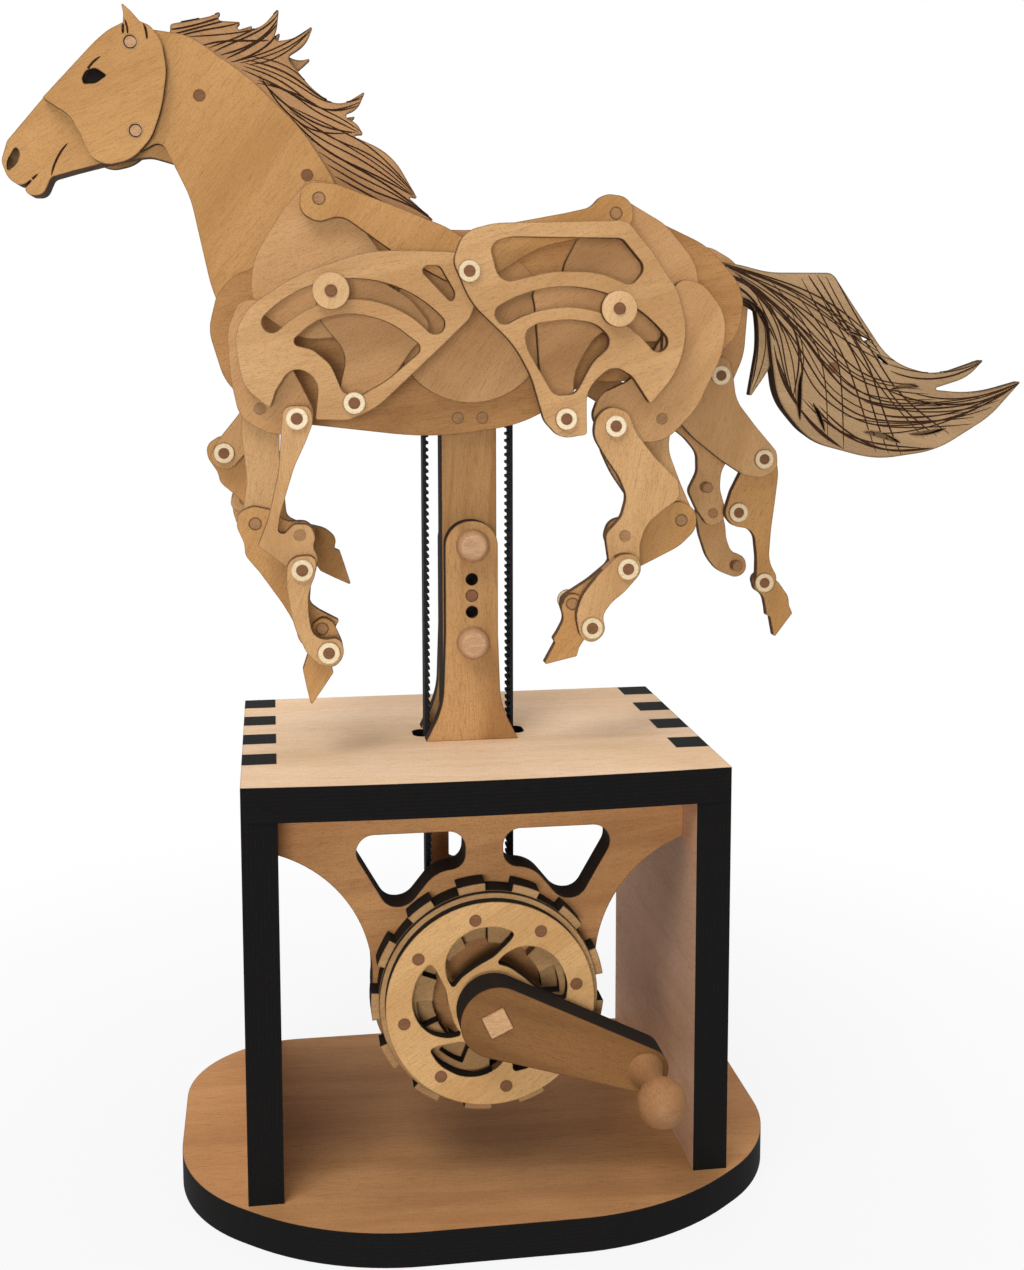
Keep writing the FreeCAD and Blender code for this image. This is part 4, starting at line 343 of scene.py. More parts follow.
# %% [markdown]
# ## Faces inside a node
# A node holds several solids: a leg's node has its plates, its dowels and the pale
# rings that hold them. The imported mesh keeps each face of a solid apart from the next,
# so a group of joined triangles is one face, and its size says what it belongs to: a
# flat face 3.2 mm across is a dowel's end, one 5.9 mm across is a ring. Each such face
# points to a slot of its own, and the shape stays as it is.

# %% Find faces and give them finishes
RING_ACROSS, DOWEL_ACROSS = 5.9, 3.2        # in millimetres
RING_THIN = 1.2             # a ring's own faces are thinner than this, in millimetres
finished = set()


def faces_of(mesh):
    """Groups of joined triangles: their indices, and their size and middle in millimetres."""
    parent = list(range(len(mesh.vertices)))

    def root(index):
        while parent[index] != index:
            parent[index] = parent[parent[index]]
            index = parent[index]
        return index

    for polygon in mesh.polygons:
        first = root(polygon.vertices[0])
        for other in polygon.vertices[1:]:
            parent[root(other)] = first
    groups = {}
    for polygon in mesh.polygons:
        groups.setdefault(root(polygon.vertices[0]), []).append(polygon)
    for polygons in groups.values():
        spots = [mesh.vertices[v].co / MM for polygon in polygons for v in polygon.vertices]
        low = Vector([min(spot[axis] for spot in spots) for axis in range(3)])
        high = Vector([max(spot[axis] for spot in spots) for axis in range(3)])
        yield polygons, high - low, (low + high) / 2


def round_about(size, across, slack=0.25):
    """Whether a face is a disc or ring of this diameter, seen from the side."""
    return abs(size.x - across) < slack and abs(size.z - across) < slack


def finish(node, material, rules=()):
    """One material for a node, and others for the faces that a rule names."""
    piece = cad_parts[node]
    for each in piece.material_slots:
        each.link = "OBJECT"
        each.material = material
    slot_of = []
    for rule, other in rules:
        piece.data.materials.append(None)
        piece.material_slots[-1].link = "OBJECT"
        piece.material_slots[-1].material = other
        slot_of.append((rule, len(piece.material_slots) - 1))
    if rules:
        for polygons, size, middle in faces_of(piece.data):
            for rule, slot in slot_of:
                if rule(size, middle):
                    for polygon in polygons:
                        polygon.material_index = slot
                    break
    finished.add(node)


RING = ply("ring_veneer", tone(232, 212, 178), tone(214, 190, 150), angle=15, shift=0.31,
           scorch=0.6, burnt=tone(150, 120, 86), veneer=tone(200, 172, 130))
WASHER = ply("washer_veneer", tone(214, 176, 130), tone(196, 156, 110), angle=70, shift=0.47,
             scorch=0.5)
DOWEL = dowel_wood("dowel_brown", tone(136, 95, 62), tone(124, 84, 56), shift=0.2)
PALE_DOWEL = dowel_wood("dowel_pale", tone(170, 130, 96), tone(186, 146, 108), shift=0.6)
FAINT_DOWEL = dowel_wood("dowel_faint", tone(160, 118, 80), tone(160, 120, 82), shift=0.8)
SOOT = speckled("soot", tone(14, 11, 10), tone(30, 22, 16), 900.0, 0.9)
SINGED = speckled("singed_floor", tone(92, 70, 46), tone(48, 34, 22), 600.0, 0.9, share=0.7)
RING_RULE = (lambda size, middle: round_about(size, RING_ACROSS) and size.y < RING_THIN, RING)
DOWEL_RULE = (lambda size, middle: round_about(size, DOWEL_ACROSS), DOWEL)
print("finishes ready")

# %% [markdown]
# ## Dowels with a ring and dowels without
# A dowel that ends inside a pale ring is dark, and one that is glued flush into a plate
# nearly has the plate's tone. The rings' places tell the two apart.

# %% Where the rings are
RING_MATCH = 2.6            # a dowel's end nearer than this to a ring lies in it, in millimetres
ring_spots = {(round(middle.x), round(middle.y), round(middle.z))
              for node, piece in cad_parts.items()
              if node.startswith(("fore", "hind", "crank_discs"))
              for polygons, size, middle in faces_of(piece.data) if RING_RULE[0](size, middle)}


def in_ring(size, middle):
    """Whether a dowel's face lies in one of the pale rings."""
    near = any((middle - Vector(spot)).length < RING_MATCH for spot in ring_spots)
    return round_about(size, DOWEL_ACROSS) and near


print("ringed joints:", len(ring_spots))

# %% [markdown]
# ## The legs
# Each of the 32 leg nodes gets its own ply. A thigh holds plates of two or three tones,
# told apart by their distance from the horse's middle plane: the crescent inside, in
# the hind legs a spacer, and the rocker outside.

# %% Horse: legs
MIDDLE_LAYER, OUTER_LAYER = 21.6, 24.9      # where a thigh's plates change, in millimetres
count = 0
for leg in ("fore", "hind"):
    for side in ("near", "far"):
        for piece, colours in LEG_TONES.items():
            node = "%s_%s_%s" % (leg, side, piece)
            count += 1
            angle = LEG_ANGLES[piece] + 7 * (count % 3)
            rules = [RING_RULE, (in_ring, DOWEL), (DOWEL_RULE[0], FAINT_DOWEL)]
            if piece == "thigh":
                inner = ply("crescent_" + node, *SAND, angle=angle + 34, shift=0.17 * count)
                rules.append((lambda size, middle: abs(middle.y) < MIDDLE_LAYER, inner))
                if leg == "hind":
                    small = ply("flank_" + node, *FAWN, angle=angle + 50, shift=0.19 * count)
                    rules.append((lambda size, middle: abs(middle.y) < OUTER_LAYER, small))
                colours = BROWN if leg == "hind" and side == "far" else colours
            finish(node, ply("ply_" + node, *colours, angle=angle, shift=0.13 * count), rules)
print("legs:", count, "nodes")

# %% [markdown]
# ## The body
# The plates of the body follow the same scheme. Two recesses are dark inside: the eye
# is sooty, the nostril singed. They are flat faces whose width and height are known.
# The mane and tail have the darkest edges and the widest scorched rims.

# %% Horse: body, head, mane and tail
CHEEK_PEG, EYE_WIDE, NOSTRIL_HIGH = 4.2, 6.2, 5.9           # in millimetres
EYE_LOW, NOSTRIL_NARROW, FLAT = 5.0, 4.6, 0.1
WASHER_ACROSS, WASHER_THIN, BELLY_DROP = 9.8, 3.0, 20.0
HAIR_REACH = 0.0010         # how far the mane's scorch reaches, in metres


def eye_floor(size, middle):
    """Whether a face is the floor of the eye's recess."""
    return abs(size.x - EYE_WIDE) < 0.7 and size.z < EYE_LOW and size.y < FLAT


def nostril_floor(size, middle):
    """Whether a face is the floor of the nostril's recess."""
    return size.y < FLAT and abs(size.z - NOSTRIL_HIGH) < 1.6 and size.x < NOSTRIL_NARROW


CHEEK_PEG_RULE = (lambda size, middle: round_about(size, CHEEK_PEG), PALE_DOWEL)
BODY_RULES = {
    "cheeks": [CHEEK_PEG_RULE, (eye_floor, SOOT)],
    "head": [(nostril_floor, SINGED), CHEEK_PEG_RULE],
    "tail": [DOWEL_RULE],
    "neck": [DOWEL_RULE],
}
for node, (colours, angle) in BODY_PLATES.items():
    count += 1
    edge = {}
    if node in ("head", "cheeks", "neck"):
        edge = {"burnt": HEAD_EDGE[0], "veneer": HEAD_EDGE[1]}
    if node in ("mane", "tail"):
        edge = {"burnt": tone(44, 28, 18), "veneer": tone(80, 58, 40), "scorch": 0.95,
                "reach": HAIR_REACH}
    finish(node, ply("ply_" + node, *colours, angle=angle, shift=0.13 * count, **edge),
           BODY_RULES.get(node, ()))
WASHER_RULE = (lambda size, middle: round_about(size, WASHER_ACROSS) and size.y < WASHER_THIN,
               WASHER)
BELLY_RULE = (lambda size, middle: middle.z < SHAFT_Z / MM - BELLY_DROP, FAINT_DOWEL)
finish("body_pins", DOWEL, [WASHER_RULE, BELLY_RULE])
finish("main_shaft", DOWEL)
finish("crank_discs", ply("ply_crank_discs", *SAND, angle=55, shift=0.51), [RING_RULE, DOWEL_RULE])
print("body finished")

# %% [markdown]
# ## Box, post and drive
# The box's plates lie across three different axes, so each says which way it faces. The
# knob and the caps are turned wood, each in a tone of its own. At the end the cell
# prints what has no finish yet, which should be nothing.

# %% Box, post, wheel and crank
PEG_ACROSS = 3.6            # the post's dowels are thinner than this, its caps aren't
for node, (colours, facing, angle) in BOX_PLATES.items():
    count += 1
    finish(node, ply("ply_" + node, *colours, facing=facing, angle=angle, shift=0.13 * count,
                     burnt=BLACK_EDGE, veneer=BLACK_VENEER, figure=0.8, scorch=0.7))
for node, (colours, angle) in POST_PLATES.items():
    count += 1
    finish(node, ply("ply_" + node, *colours, angle=angle, shift=0.13 * count,
                     burnt=tone(40, 28, 19), veneer=tone(74, 54, 38), figure=1.5), [DOWEL_RULE])
for node, (colours, angle) in WHEEL_PLATES.items():
    count += 1
    finish(node, ply("ply_" + node, *colours, angle=angle, shift=0.13 * count,
                     burnt=tone(22, 17, 13), veneer=tone(44, 32, 22)), [DOWEL_RULE])
finish("wheel_dowels", DOWEL)
finish("crank_knob", dowel_wood("knob_wood", tone(146, 104, 67), tone(152, 111, 76), shift=0.4))
PEG_RULE = (lambda size, middle: size.x < PEG_ACROSS and size.z < PEG_ACROSS, DOWEL)
finish("post_knobs", dowel_wood("cap_wood", tone(168, 128, 92), tone(186, 148, 112), shift=0.7),
       [PEG_RULE])
finish("crank_shaft", dowel_wood("shaft_wood", tone(180, 136, 92), tone(196, 154, 112), shift=0.9))
RUBBER = speckled("belt_rubber", tone(20, 20, 21), tone(40, 40, 41), 900.0, 0.8)
finish("belt", RUBBER)
for node in ("pulley_lower", "pulley_upper"):
    finish(node, speckled("metal_" + node, tone(150, 150, 154), tone(120, 120, 124), 1500.0, 0.45,
                          metal=1.0))
print("finished nodes:", len(finished), "left:", sorted(set(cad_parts) - finished))

# %% [markdown]
# ## Geometry Nodes: a small kit
# Two things on this toy repeat along a line: the teeth on the inside of the belt, and
# the ninety or so engraved strands of hair. Both are node trees. The first cell here
# starts a tree with named inputs; the second runs a tree on an object, keeps what it
# makes as a plain mesh and drops the object it came from.


# %% Start a tree, run a tree
def start_tree(name, sockets):
    """A node tree with named inputs; returns it, its inputs and its output node."""
    tree = bpy.data.node_groups.new(name, "GeometryNodeTree")
    tree.interface.new_socket("Geometry", in_out="INPUT", socket_type="NodeSocketGeometry")
    for label, kind in sockets:
        tree.interface.new_socket(label, in_out="INPUT", socket_type="NodeSocket" + kind)
    tree.interface.new_socket("Geometry", in_out="OUTPUT", socket_type="NodeSocketGeometry")
    return tree, tree.nodes.new("NodeGroupInput").outputs, tree.nodes.new("NodeGroupOutput")


def close_tree(tree, result, geometry, material):
    """The last two nodes of every tree: real faces, then their finish."""
    real = add(tree, "GeometryNodeRealizeInstances", Geometry=geometry)
    painted = add(tree, "GeometryNodeSetMaterial", Geometry=real.outputs[0], Material=material)
    tree.links.new(painted.outputs[0], result.inputs[0])


def grown(name, source, tree, values):
    """The plain mesh that a tree makes on a source object."""
    modifier = source.modifiers.new("grow", "NODES")
    modifier.node_group = tree
    for item in tree.interface.items_tree:
        if item.in_out == "INPUT" and item.name in values:
            modifier[item.identifier] = values[item.name]
    graph = bpy.context.evaluated_depsgraph_get()
    mesh = bpy.data.meshes.new_from_object(source.evaluated_get(graph), depsgraph=graph)
    source.modifiers.clear()
    bpy.data.objects.remove(source)
    mesh.name = name
    piece = bpy.data.objects.new(name, mesh)
    bpy.context.scene.collection.objects.link(piece)
    print(name, len(mesh.polygons), "faces")
    return piece


def drawn(name, lines):
    """A curve object with one open line for each entry: points in metres, and a weight."""
    curve = bpy.data.curves.new(name, "CURVE")
    curve.dimensions = "3D"
    for points, weight in lines:
        line = curve.splines.new("NURBS")
        line.points.add(len(points) - 1)
        for spot, point in zip(line.points, points):
            spot.co = (*point, 1.0)
            spot.radius = weight
        line.order_u = min(4, len(points))
        line.use_endpoint_u = True
        line.resolution_u = 8
    source = bpy.data.objects.new(name, curve)
    bpy.context.scene.collection.objects.link(source)
    return source


# %% [markdown]
# ## The belt's teeth
# The belt drives its pulleys with teeth on its inside, one every 2.032 mm. Only the two
# straight runs show, so they carry the teeth, and where the belt lies in a pulley the
# teeth would be in the pulley's gaps. A tree sets a tapered block at each step of a
# line; the line is the inner face of a run.

# %% Teeth along a line
TOOTH_PITCH, TOOTH_DEEP, TOOTH_WIDE, BELT_BACK = 2.032, 0.75, 1.15, 0.9    # in millimetres
TOOTH_TAPER = -0.4          # moves the tip's corners in, as a share of their place
teeth, told, result = start_tree("belt_teeth", [
    ("Pitch", "Float"), ("Deep", "Float"), ("Wide", "Float"), ("Across", "Float"),
    ("Turn", "Float")])
steps = add(teeth, "GeometryNodeResampleCurve", {"mode": "LENGTH"}, Curve=told["Geometry"],
            Length=told["Pitch"])
extent = add(teeth, "ShaderNodeCombineXYZ", X=told["Deep"], Y=told["Across"], Z=told["Wide"])
block = add(teeth, "GeometryNodeMeshCube", Size=extent.outputs[0])
spot = add(teeth, "GeometryNodeInputPosition").outputs[0]
spot_parts = add(teeth, "ShaderNodeSeparateXYZ", Vector=spot)
tip = maths(teeth, "GREATER_THAN", spot_parts.outputs["X"], 0.0)
inward = maths(teeth, "MULTIPLY", spot_parts.outputs["Z"], TOOTH_TAPER)
pinch = add(teeth, "ShaderNodeCombineXYZ", X=0.0, Y=0.0, Z=maths(teeth, "MULTIPLY", inward, tip))
tapered = add(teeth, "GeometryNodeSetPosition", Geometry=block.outputs[0], Offset=pinch.outputs[0])
turn = add(teeth, "ShaderNodeCombineXYZ", X=0.0, Y=told["Turn"], Z=0.0)
rows = add(teeth, "GeometryNodeInstanceOnPoints", Points=steps.outputs[0],
           Instance=tapered.outputs[0], Rotation=turn.outputs[0])
close_tree(teeth, result, rows.outputs[0], RUBBER)
print("teeth tree:", len(teeth.nodes), "nodes")

# %% [markdown]
# ## Where the runs are
# The belt's own box gives the outer faces of its two runs, and the lower pulley and the
# main shaft give their ends. The teeth stop a little short of both axles.

# %% Both runs of the belt
belt_low, belt_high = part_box("belt")
pulley_low, pulley_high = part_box("pulley_lower")
RUN_CLEAR = 5.0 * MM        # from an axle's height to the first tooth
TOOTH_SUNK = 0.05           # how deep a tooth is set into the belt, in millimetres
ROW_SHARE = 0.98            # a tooth's length across the belt
axle_low, axle_high = (pulley_low.z + pulley_high.z) / 2, SHAFT_Z
for name, sign in (("belt_teeth_left", -1), ("belt_teeth_right", 1)):
    wall = belt_low.x if sign < 0 else belt_high.x
    line_x = wall - sign * (BELT_BACK + TOOTH_DEEP / 2 - TOOTH_SUNK) * MM
    middle_y = (belt_low.y + belt_high.y) / 2
    run = drawn(name + "_line", [([(line_x, middle_y, axle_low + RUN_CLEAR),
                                   (line_x, middle_y, axle_high - RUN_CLEAR)], 1.0)])
    row = grown(name, run, teeth, {
        "Pitch": TOOTH_PITCH * MM, "Deep": TOOTH_DEEP * MM, "Wide": TOOTH_WIDE * MM,
        "Across": (belt_high.y - belt_low.y) * ROW_SHARE, "Turn": math.pi if sign > 0 else 0.0})
    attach(row, "frame")

# %% [markdown]
# ## Engraved lines
# A laser at low power burns a line into the face without cutting through: the strands
# of the mane and tail, the lid over the eye, the ear, the mouth and the jaw. They are
# modelled as a film of char, because a groove this fine would need the plate's faces
# remade. A tree drops each drawn line on to whichever plate it meets first, lets go of
# it where it leaves a plate, thins it towards its ends and gives it its width.

# %% A tree that lays lines on a plate
CHAR = speckled("char_line", tone(44, 26, 14), tone(72, 44, 24), 1400.0, 0.9)
DROP_REACH = 80.0 * MM      # how far a line looks for its plate
OFF_PLATE = 30.0 * MM       # what still lies further out than this met no plate
LAYER_JUMP = 0.4 * MM       # a step in depth that parts a line between two plates
END_THIN, END_POWER = 0.75, 5.0     # how much a line thins at its ends, and how late
lay, told, result = start_tree("engraved_lines", [
    ("Plate", "Object"), ("Step", "Float"), ("Width", "Float"), ("Film", "Float"),
    ("Side", "Float")])
fine = add(lay, "GeometryNodeResampleCurve", {"mode": "LENGTH"}, Curve=told["Geometry"],
           Length=told["Step"])
along = add(lay, "GeometryNodeSplineParameter").outputs["Factor"]
ends = maths(lay, "ABSOLUTE", maths(lay, "SUBTRACT", maths(lay, "MULTIPLY", along, 2.0), 1.0))
thinned = maths(lay, "MULTIPLY", maths(lay, "POWER", ends, END_POWER), END_THIN)
taper = maths(lay, "SUBTRACT", 1.0, thinned)
width = maths(lay, "MULTIPLY", taper, add(lay, "GeometryNodeInputRadius").outputs[0])
kept = add(lay, "GeometryNodeStoreNamedAttribute", {"data_type": "FLOAT", "domain": "POINT"},
           Geometry=fine.outputs[0], Name="line_width", Value=width)
wire = add(lay, "GeometryNodeCurveToMesh", Curve=kept.outputs[0])
plate = add(lay, "GeometryNodeObjectInfo", {"transform_space": "RELATIVE"}, Object=told["Plate"])
aim = add(lay, "ShaderNodeCombineXYZ", X=0.0, Y=maths(lay, "MULTIPLY", told["Side"], -1.0), Z=0.0)
drop = add(lay, "GeometryNodeRaycast", Ray_Direction=aim.outputs[0], Ray_Length=DROP_REACH)
lay.links.new(plate.outputs["Geometry"], drop.inputs["Target Geometry"])
lift = add(lay, "ShaderNodeCombineXYZ", X=0.0, Z=0.0,
           Y=maths(lay, "MULTIPLY", told["Side"], told["Film"]))
lying = add(lay, "GeometryNodeSetPosition", Geometry=wire.outputs[0], Offset=lift.outputs[0],
            Position=drop.outputs["Hit Position"], Selection=drop.outputs["Is Hit"])
aside = add(lay, "ShaderNodeSeparateXYZ", Vector=add(lay, "GeometryNodeInputPosition").outputs[0])
outward = maths(lay, "MULTIPLY", aside.outputs["Y"], told["Side"])
off = maths(lay, "GREATER_THAN", outward, OFF_PLATE)
landed = add(lay, "GeometryNodeDeleteGeometry", {"domain": "POINT", "mode": "ALL"},
             Geometry=lying.outputs[0], Selection=off)
pair = add(lay, "GeometryNodeInputMeshEdgeVertices")
stride = add(lay, "ShaderNodeVectorMath", {"operation": "SUBTRACT"}, i0=pair.outputs["Position 1"],
             i1=pair.outputs["Position 2"])
gap = add(lay, "ShaderNodeSeparateXYZ", Vector=stride.outputs[0])
jump = maths(lay, "GREATER_THAN", maths(lay, "ABSOLUTE", gap.outputs["Y"]), LAYER_JUMP)
parted = add(lay, "GeometryNodeDeleteGeometry", {"domain": "EDGE", "mode": "ALL"},
             Geometry=landed.outputs[0], Selection=jump)
threads = add(lay, "GeometryNodeMeshToCurve", Mesh=parted.outputs[0])
stored = add(lay, "GeometryNodeInputNamedAttribute", {"data_type": "FLOAT"},
             Name="line_width").outputs[0]
sized = add(lay, "GeometryNodeSetCurveRadius", Curve=threads.outputs[0], Radius=stored)
level = add(lay, "GeometryNodeSetCurveNormal", {"mode": "FREE"}, Curve=sized.outputs[0],
            Normal=(0.0, 1.0, 0.0))
band = add(lay, "GeometryNodeCurvePrimitiveQuadrilateral", Width=told["Film"], Height=told["Width"])
ribbon = add(lay, "GeometryNodeCurveToMesh", Curve=level.outputs[0], Profile_Curve=band.outputs[0],
             Scale=stored, Fill_Caps=True)
close_tree(lay, result, ribbon.outputs[0], CHAR)
print("line tree:", len(lay.nodes), "nodes")

# %% [markdown]
# ## From a drawing to a piece
# A line is a list of points around the main shaft, and a weight that multiplies its
# width. One function moves the points in front of the horse, the next runs the tree on
# them, and the last fills the space between two drawn lines with strands that wander a
# little. The wandering comes from a fixed seed, so it is the same every time.

# %% Draw lines and lay them
DRAW_AT = 40.0              # from the middle plane to where lines are drawn, in millimetres
LINE_STEP, LINE_FILM = 0.5 * MM, 0.05 * MM
WAVER = 1.1                 # how far a strand wanders from its place, in millimetres
WEIGHTS = (0.75, 1.3)       # the faintest and the boldest strand of a family
hand = random.Random(11)


def over_plate(points, side):
    """Points drawn around the main shaft, in millimetres, moved in front of the horse."""
    return [(SHAFT_X + u * MM, side * DRAW_AT * MM, SHAFT_Z + v * MM) for u, v in points]


def engrave(name, node, lines, width, side=-1):
    """Lays drawn lines on a node's plates and lets the piece ride with the toy's frame."""
    placed = [(over_plate(points, side), weight) for points, weight in lines]
    source = drawn(name + "_drawn", placed)
    piece = grown(name, source, lay, {
        "Plate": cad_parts[node], "Step": LINE_STEP, "Width": width * MM, "Film": LINE_FILM,
        "Side": float(side)})
    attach(piece, "frame")


def between(first, second, number, weight=1.0):
    """A family of lines from one drawn line to another, each a little off its place."""
    family = []
    for step in range(number):
        share = step / (number - 1) if number > 1 else 0.5
        points = [(a[0] + (b[0] - a[0]) * share, a[1] + (b[1] - a[1]) * share)
                  for a, b in zip(first, second)]
        loose = [(u + hand.uniform(-WAVER, WAVER), v + hand.uniform(-WAVER, WAVER))
                 for u, v in points[1:-1]]
        family.append(([points[0]] + loose + [points[-1]], weight * hand.uniform(*WEIGHTS)))
    return family


print("lines are drawn", DRAW_AT, "mm from the middle plane")

# %% [markdown]
# ## The face
# A lid curls over the eye, three short strokes mark the hollow of the ear, and the
# mouth and jaw are one stroke each. Both sides of the head carry them.

# %% Lines of the face
FACE_LINE, MOUTH_LINE = 0.40, 0.44          # in millimetres
LID = [(-103.6, 65.0), (-103.2, 67.6), (-101.6, 69.6), (-99.2, 71.2)]
EAR = [([(-93.0, 80.0), (-93.2, 78.6), (-93.1, 77.2)], 1.7),
       ([(-92.6, 81.0), (-91.9, 79.6), (-91.9, 77.2)], 1.3),
       ([(-87.7, 80.0), (-86.8, 78.2), (-86.9, 76.0)], 1.6)]
MOUTH = [(-122.0, 36.4), (-120.2, 37.4), (-118.6, 38.8), (-116.8, 40.4)]
JAW = [(-108.8, 48.6), (-110.6, 46.7), (-112.4, 43.9), (-113.3, 40.0)]
PEG_RING, CHEEK_PEGS = 1.75, ((-91.3, 75.2), (-90.5, 51.9))
RING_STEPS = 12
turns = [step * 2 * math.pi / RING_STEPS for step in range(RING_STEPS + 1)]
rings = [([(u + PEG_RING * math.cos(turn), v + PEG_RING * math.sin(turn)) for turn in turns], 0.8)
         for u, v in CHEEK_PEGS]
for side, tag in ((-1, "near"), (1, "far")):
    engrave("cheek_lines_" + tag, "cheeks", [(LID, 1.5)] + EAR + rings, FACE_LINE, side)
    engrave("mouth_lines_" + tag, "head", [(MOUTH, 1.5), (JAW, 1.3)], MOUTH_LINE, side)

# %% [markdown]
# ## Mane and tail
# The strands run in families: each family starts along the crest or the dock and closes
# on the tip of one tuft. A family is drawn as its first and last strand, and the rest
# lie between. Families cross, which is what gives the hair its depth.

# %% Strands of the mane
MANE_LINE, TAIL_LINE = 0.42, 0.40           # in millimetres
MANE_FAMILIES = [
    ([(-82, 81), (-77, 82), (-72, 83), (-67.5, 84.8)],
     [(-81, 77), (-74, 79), (-67.5, 80), (-62.5, 82)], 4),
    ([(-76, 78), (-69, 79.5), (-63, 80), (-57.5, 80.5)],
     [(-73, 75.5), (-66, 79), (-60, 77), (-54.5, 77.5)], 2),
    ([(-71, 75), (-64, 77.5), (-57, 79.5), (-51.8, 86)],
     [(-64.5, 71.5), (-58, 73.5), (-53, 77), (-52, 81)], 5),
    ([(-65, 71.5), (-57, 74), (-50, 75.5), (-42.6, 81.5)],
     [(-60, 71), (-54, 72), (-48, 73.5), (-43.4, 80)], 3),
    ([(-60, 73), (-50, 72.5), (-43.5, 65), (-36, 60), (-28.4, 64)],
     [(-62, 69.5), (-53, 66), (-45, 61.5), (-38, 57.5), (-30, 60.5)], 5),
    ([(-58, 66), (-48, 65), (-40.5, 58), (-35, 57.5), (-29.2, 53)],
     [(-57, 68), (-53, 61), (-47, 55.5), (-40, 52.5), (-32, 53)], 4),
    ([(-49.5, 60), (-40, 55), (-32, 51.5), (-23, 48.5), (-14.2, 36)],
     [(-49, 57), (-42, 49), (-33, 45), (-23.5, 40), (-15.5, 36)], 5),
    ([(-43.5, 51), (-35, 44.5), (-26, 40), (-18, 35.5), (-9.2, 29.2)],
     [(-37, 41), (-30, 37), (-22.5, 33), (-16, 31.5), (-10, 29)], 4)]
strands = [line for first, last, number in MANE_FAMILIES for line in between(first, last, number)]
for side, tag in ((-1, "front"), (1, "rear")):
    engrave("mane_strands_" + tag, "mane", strands, MANE_LINE, side)
print("mane strands drawn:", len(strands))

# %% [markdown]
# ## The tail
# The tail's families run from the dock to the tips of its locks. Some are short and
# fill the places where the locks part, and four heavier strands cover the dock.

# %% Strands of the tail
TAIL_FAMILIES = [
    ([(74, 17.5), (84, 14.5), (97, 12), (110, 4.5), (120, -4)],
     [(76, 16), (89, 11), (101, 4), (112, -6), (124, -11.5)], 6),
    ([(76, 16), (90, 10), (101, 0), (112, -10), (121, -17), (134, -18)],
     [(80, 13), (92, 4), (100, -6), (108, -17), (119, -25), (142, -24)], 5),
    ([(79, 14), (91, 6), (100, -3), (108, -14), (118, -23), (131, -26), (154, -22)],
     [(81, 11.5), (90, 2), (97, -8), (102, -18), (112, -27), (125, -32.5), (152, -30)], 5),
    ([(82, 11), (90, 3), (95, -6), (96, -15), (97, -23)],
     [(84, 9), (88, 2), (91, -6), (93, -14), (96, -22)], 3),
    ([(90, 5), (96, 0), (99, -8), (98, -15), (96, -22)],
     [(95, 4), (99, -4), (99.5, -12), (99, -20), (98.5, -28)], 3),
    ([(88, 13), (98, 4), (105, -8), (107, -22), (107, -35)],
     [(96, 9), (106, -2), (111, -12), (112, -24), (112, -37)], 2),
    ([(98, 13), (106, 0), (114, -12), (118, -26), (122, -38)],
     [(113, -3), (118, -11), (122, -19), (125, -29), (130, -39)], 3),
    ([(104, 8), (112, -4), (120, -15), (128, -25), (137, -34)],
     [(112, 2), (119, -8), (126, -18), (134, -26), (145, -33)], 3),
    ([(133, -20.5), (143, -22.5), (154, -22.5), (166.8, -17.6)],
     [(119, -32), (132, -33.5), (150, -29), (166, -18.4)], 6),
    ([(124, -19), (136, -24), (150, -25), (162, -21)],
     [(112, -27), (124, -31), (142, -31), (158, -25)], 3),
    ([(99, -22), (104, -29), (112, -34), (123, -37), (136, -37)],
     [(104, -24), (111, -31), (119, -36), (128, -38.5), (140, -37)], 4),
    ([(122, -9), (131, -14), (143, -15), (155, -11)],
     [(126, -14), (134, -17), (145, -17.5), (154.6, -11.4)], 3),
    ([(100, 14), (104, 8), (108, 2), (113, -4)],
     [(108, 13.8), (112.4, 6), (117.6, -2), (123, -9.6)], 4),
    ([(85, 5), (86.6, -1), (87, -9), (84.4, -18)], [(86, 5), (89.5, -2), (89, -9), (84.4, -20)], 2),
    ([(90, -6), (92, -14), (97, -24), (104, -32), (112, -37)],
     [(91, -10), (93.5, -18), (98, -26), (103, -32), (110, -36)], 3)]
strands = [line for first, last, number in TAIL_FAMILIES for line in between(first, last, number)]
ROOT_STRANDS = between([(70, 17.6), (76, 16.4), (84, 13.4), (92, 8), (97, 2)],
                       [(70, 12), (77, 12), (84, 7), (88, 1), (90.4, -5)], 4, 1.5)
for side, tag in ((-1, "front"), (1, "rear")):
    engrave("tail_strands_" + tag, "tail", strands + ROOT_STRANDS, TAIL_LINE, side)
print("tail strands drawn:", len(strands) + len(ROOT_STRANDS))

# %% [markdown]
# ## Floor, light and camera
# A pale floor runs on to a pale world, as in a studio. The floor is lit like anything
# else, so it keeps the soft shadow of the base, and looks brighter to the camera than
# to the toy, so it doesn't tint the wood. Further out it glows evenly into the world.

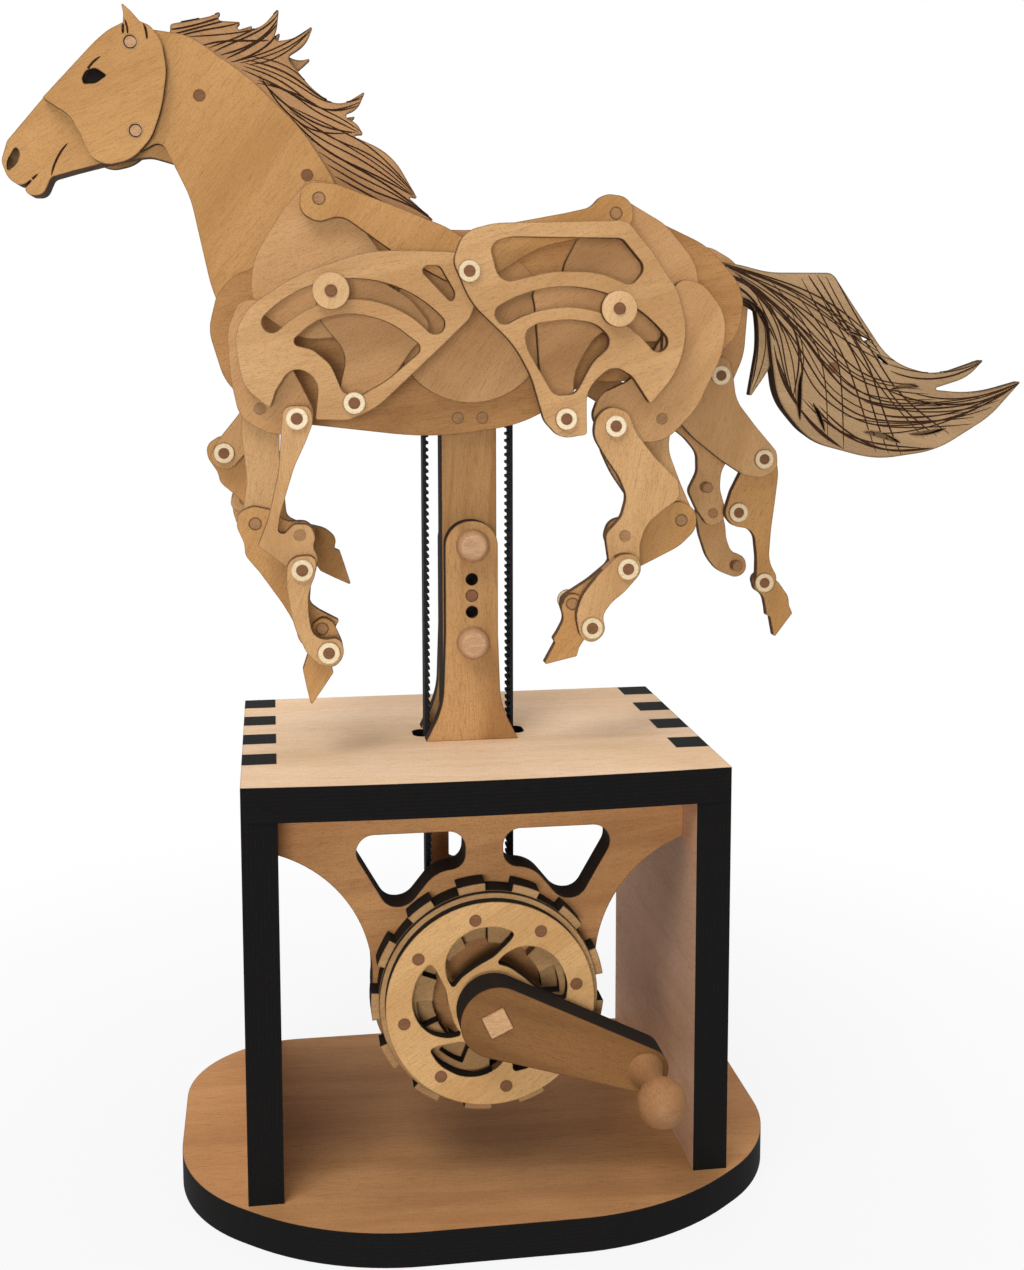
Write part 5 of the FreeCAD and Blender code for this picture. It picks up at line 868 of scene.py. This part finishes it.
# %% Floor
FLOOR_REACH, FLOOR_DROP = 6.0, 0.0002       # in metres
FLOOR_GREY = (0.45, 0.45, 0.45, 1.0)
WHITE = (1.0, 1.0, 1.0, 1.0)
FADE_FROM, FADE_TO, NEAR_SHARE = 0.10, 0.34, 0.88           # how the glow grows with distance
bpy.ops.mesh.primitive_plane_add(size=FLOOR_REACH, location=(0.0, 0.0, -FLOOR_DROP))
floor = bpy.context.object
floor.name = "floor"
floor_material, floor_shader = start_material("floor_paper", 0.9)
floor_tree = floor_material.node_tree
floor_shader.inputs["Base Color"].default_value = FLOOR_GREY
floor_shader.inputs["Specular IOR Level"].default_value = 0.0
glow = add(floor_tree, "ShaderNodeEmission", Color=WHITE, Strength=1.0)
from_toy = add(floor_tree, "ShaderNodeVectorMath", {"operation": "LENGTH"},
               i0=add(floor_tree, "ShaderNodeTexCoord").outputs["Object"]).outputs["Value"]
share = maths(floor_tree, "ADD", NEAR_SHARE,
              part_of(floor_tree, from_toy, FADE_FROM, FADE_TO, 1.0 - NEAR_SHARE))
seen = maths(floor_tree, "MULTIPLY", seen_directly(floor_tree), share)
both = add(floor_tree, "ShaderNodeMixShader", i0=seen, i1=floor_shader.outputs[0],
           i2=glow.outputs[0])
floor_tree.links.new(both.outputs[0], floor_tree.nodes["Material Output"].inputs["Surface"])
floor.data.materials.append(floor_material)
print("floor:", FLOOR_REACH, "m across")

# %% [markdown]
# ## Light
# The world looks white to the camera and gives the toy only a part of that light. Three
# soft lamps do the rest: one high in front, one low in front to reach into the box, and
# a wide one overhead.

# %% World and lamps
AMBIENT = 0.28              # the share of the world's white that lights the toy
world = bpy.data.worlds.new("studio") if not bpy.data.worlds else bpy.data.worlds[0]
bpy.context.scene.world = world
world.use_nodes = True
sky = world.node_tree
sky.nodes.clear()
power = maths(sky, "ADD", maths(sky, "MULTIPLY", seen_directly(sky), 1.0 - AMBIENT), AMBIENT)
back = add(sky, "ShaderNodeBackground", Color=WHITE, Strength=power)
add(sky, "ShaderNodeOutputWorld", Surface=back.outputs[0])

LAMPS = {  # place in metres, watts, size in metres
    "key": ((-0.7, -0.9, 1.7), 20.0, 0.8),
    "fill": ((-0.35, -1.7, 0.25), 16.0, 0.5),
    "top": ((0.1, 0.2, 1.5), 16.0, 1.6),
}
AIM = Vector((0.0, 0.0, 0.17))
for name, (place, watts, span) in LAMPS.items():
    lamp_data = bpy.data.lights.new(name, "AREA")
    lamp_data.energy = watts
    lamp_data.size = span
    lamp = bpy.data.objects.new(name, lamp_data)
    bpy.context.scene.collection.objects.link(lamp)
    lamp.location = place
    lamp.rotation_euler = (AIM - Vector(place)).to_track_quat("-Z", "Y").to_euler()
print("lamps:", ", ".join(LAMPS))

# %% [markdown]
# ## Camera
# The camera stands in front of the toy, a little to its left and above its middle, and
# looks slightly down. Its three angles give its axes, and the lens is shifted so that
# the picture's centre needn't be where the axis meets it.

# %% Camera
LENS_PIXELS = 1558.2        # focal length, in pixels of a picture 1024 wide
PICTURE = (1024, 1270)      # width and height in pixels
CENTRE = (494.7, 502.7)     # where the lens axis meets the picture, in pixels
EYE_PLACE = Vector((-56.23, -445.64, 239.91)) * MM
YAW, PITCH, ROLL = math.radians(8.22), math.radians(6.20), math.radians(-0.15)
ahead = Vector((math.sin(YAW) * math.cos(PITCH), math.cos(YAW) * math.cos(PITCH), -math.sin(PITCH)))
level = Vector((math.cos(YAW), -math.sin(YAW), 0.0))
upward = level.cross(ahead)
right = math.cos(ROLL) * level + math.sin(ROLL) * upward
upward = -math.sin(ROLL) * level + math.cos(ROLL) * upward
camera_data = bpy.data.cameras.new("camera")
camera_data.sensor_fit = "HORIZONTAL"
camera_data.sensor_width = 36.0
camera_data.lens = LENS_PIXELS / PICTURE[0] * camera_data.sensor_width
camera_data.shift_x = (PICTURE[0] / 2 - CENTRE[0]) / PICTURE[0]
camera_data.shift_y = (CENTRE[1] - PICTURE[1] / 2) / PICTURE[0]
camera_data.clip_start = 0.01
camera_data.clip_end = 20.0
camera = bpy.data.objects.new("camera", camera_data)
bpy.context.scene.collection.objects.link(camera)
camera.matrix_world = Matrix((
    (right.x, upward.x, -ahead.x, EYE_PLACE.x),
    (right.y, upward.y, -ahead.y, EYE_PLACE.y),
    (right.z, upward.z, -ahead.z, EYE_PLACE.z),
    (0.0, 0.0, 0.0, 1.0)))
bpy.context.scene.camera = camera
bpy.context.scene.view_settings.view_transform = "Standard"
print("lens:", round(camera_data.lens, 1), "mm, eye at", [round(v, 3) for v in EYE_PLACE], "m")
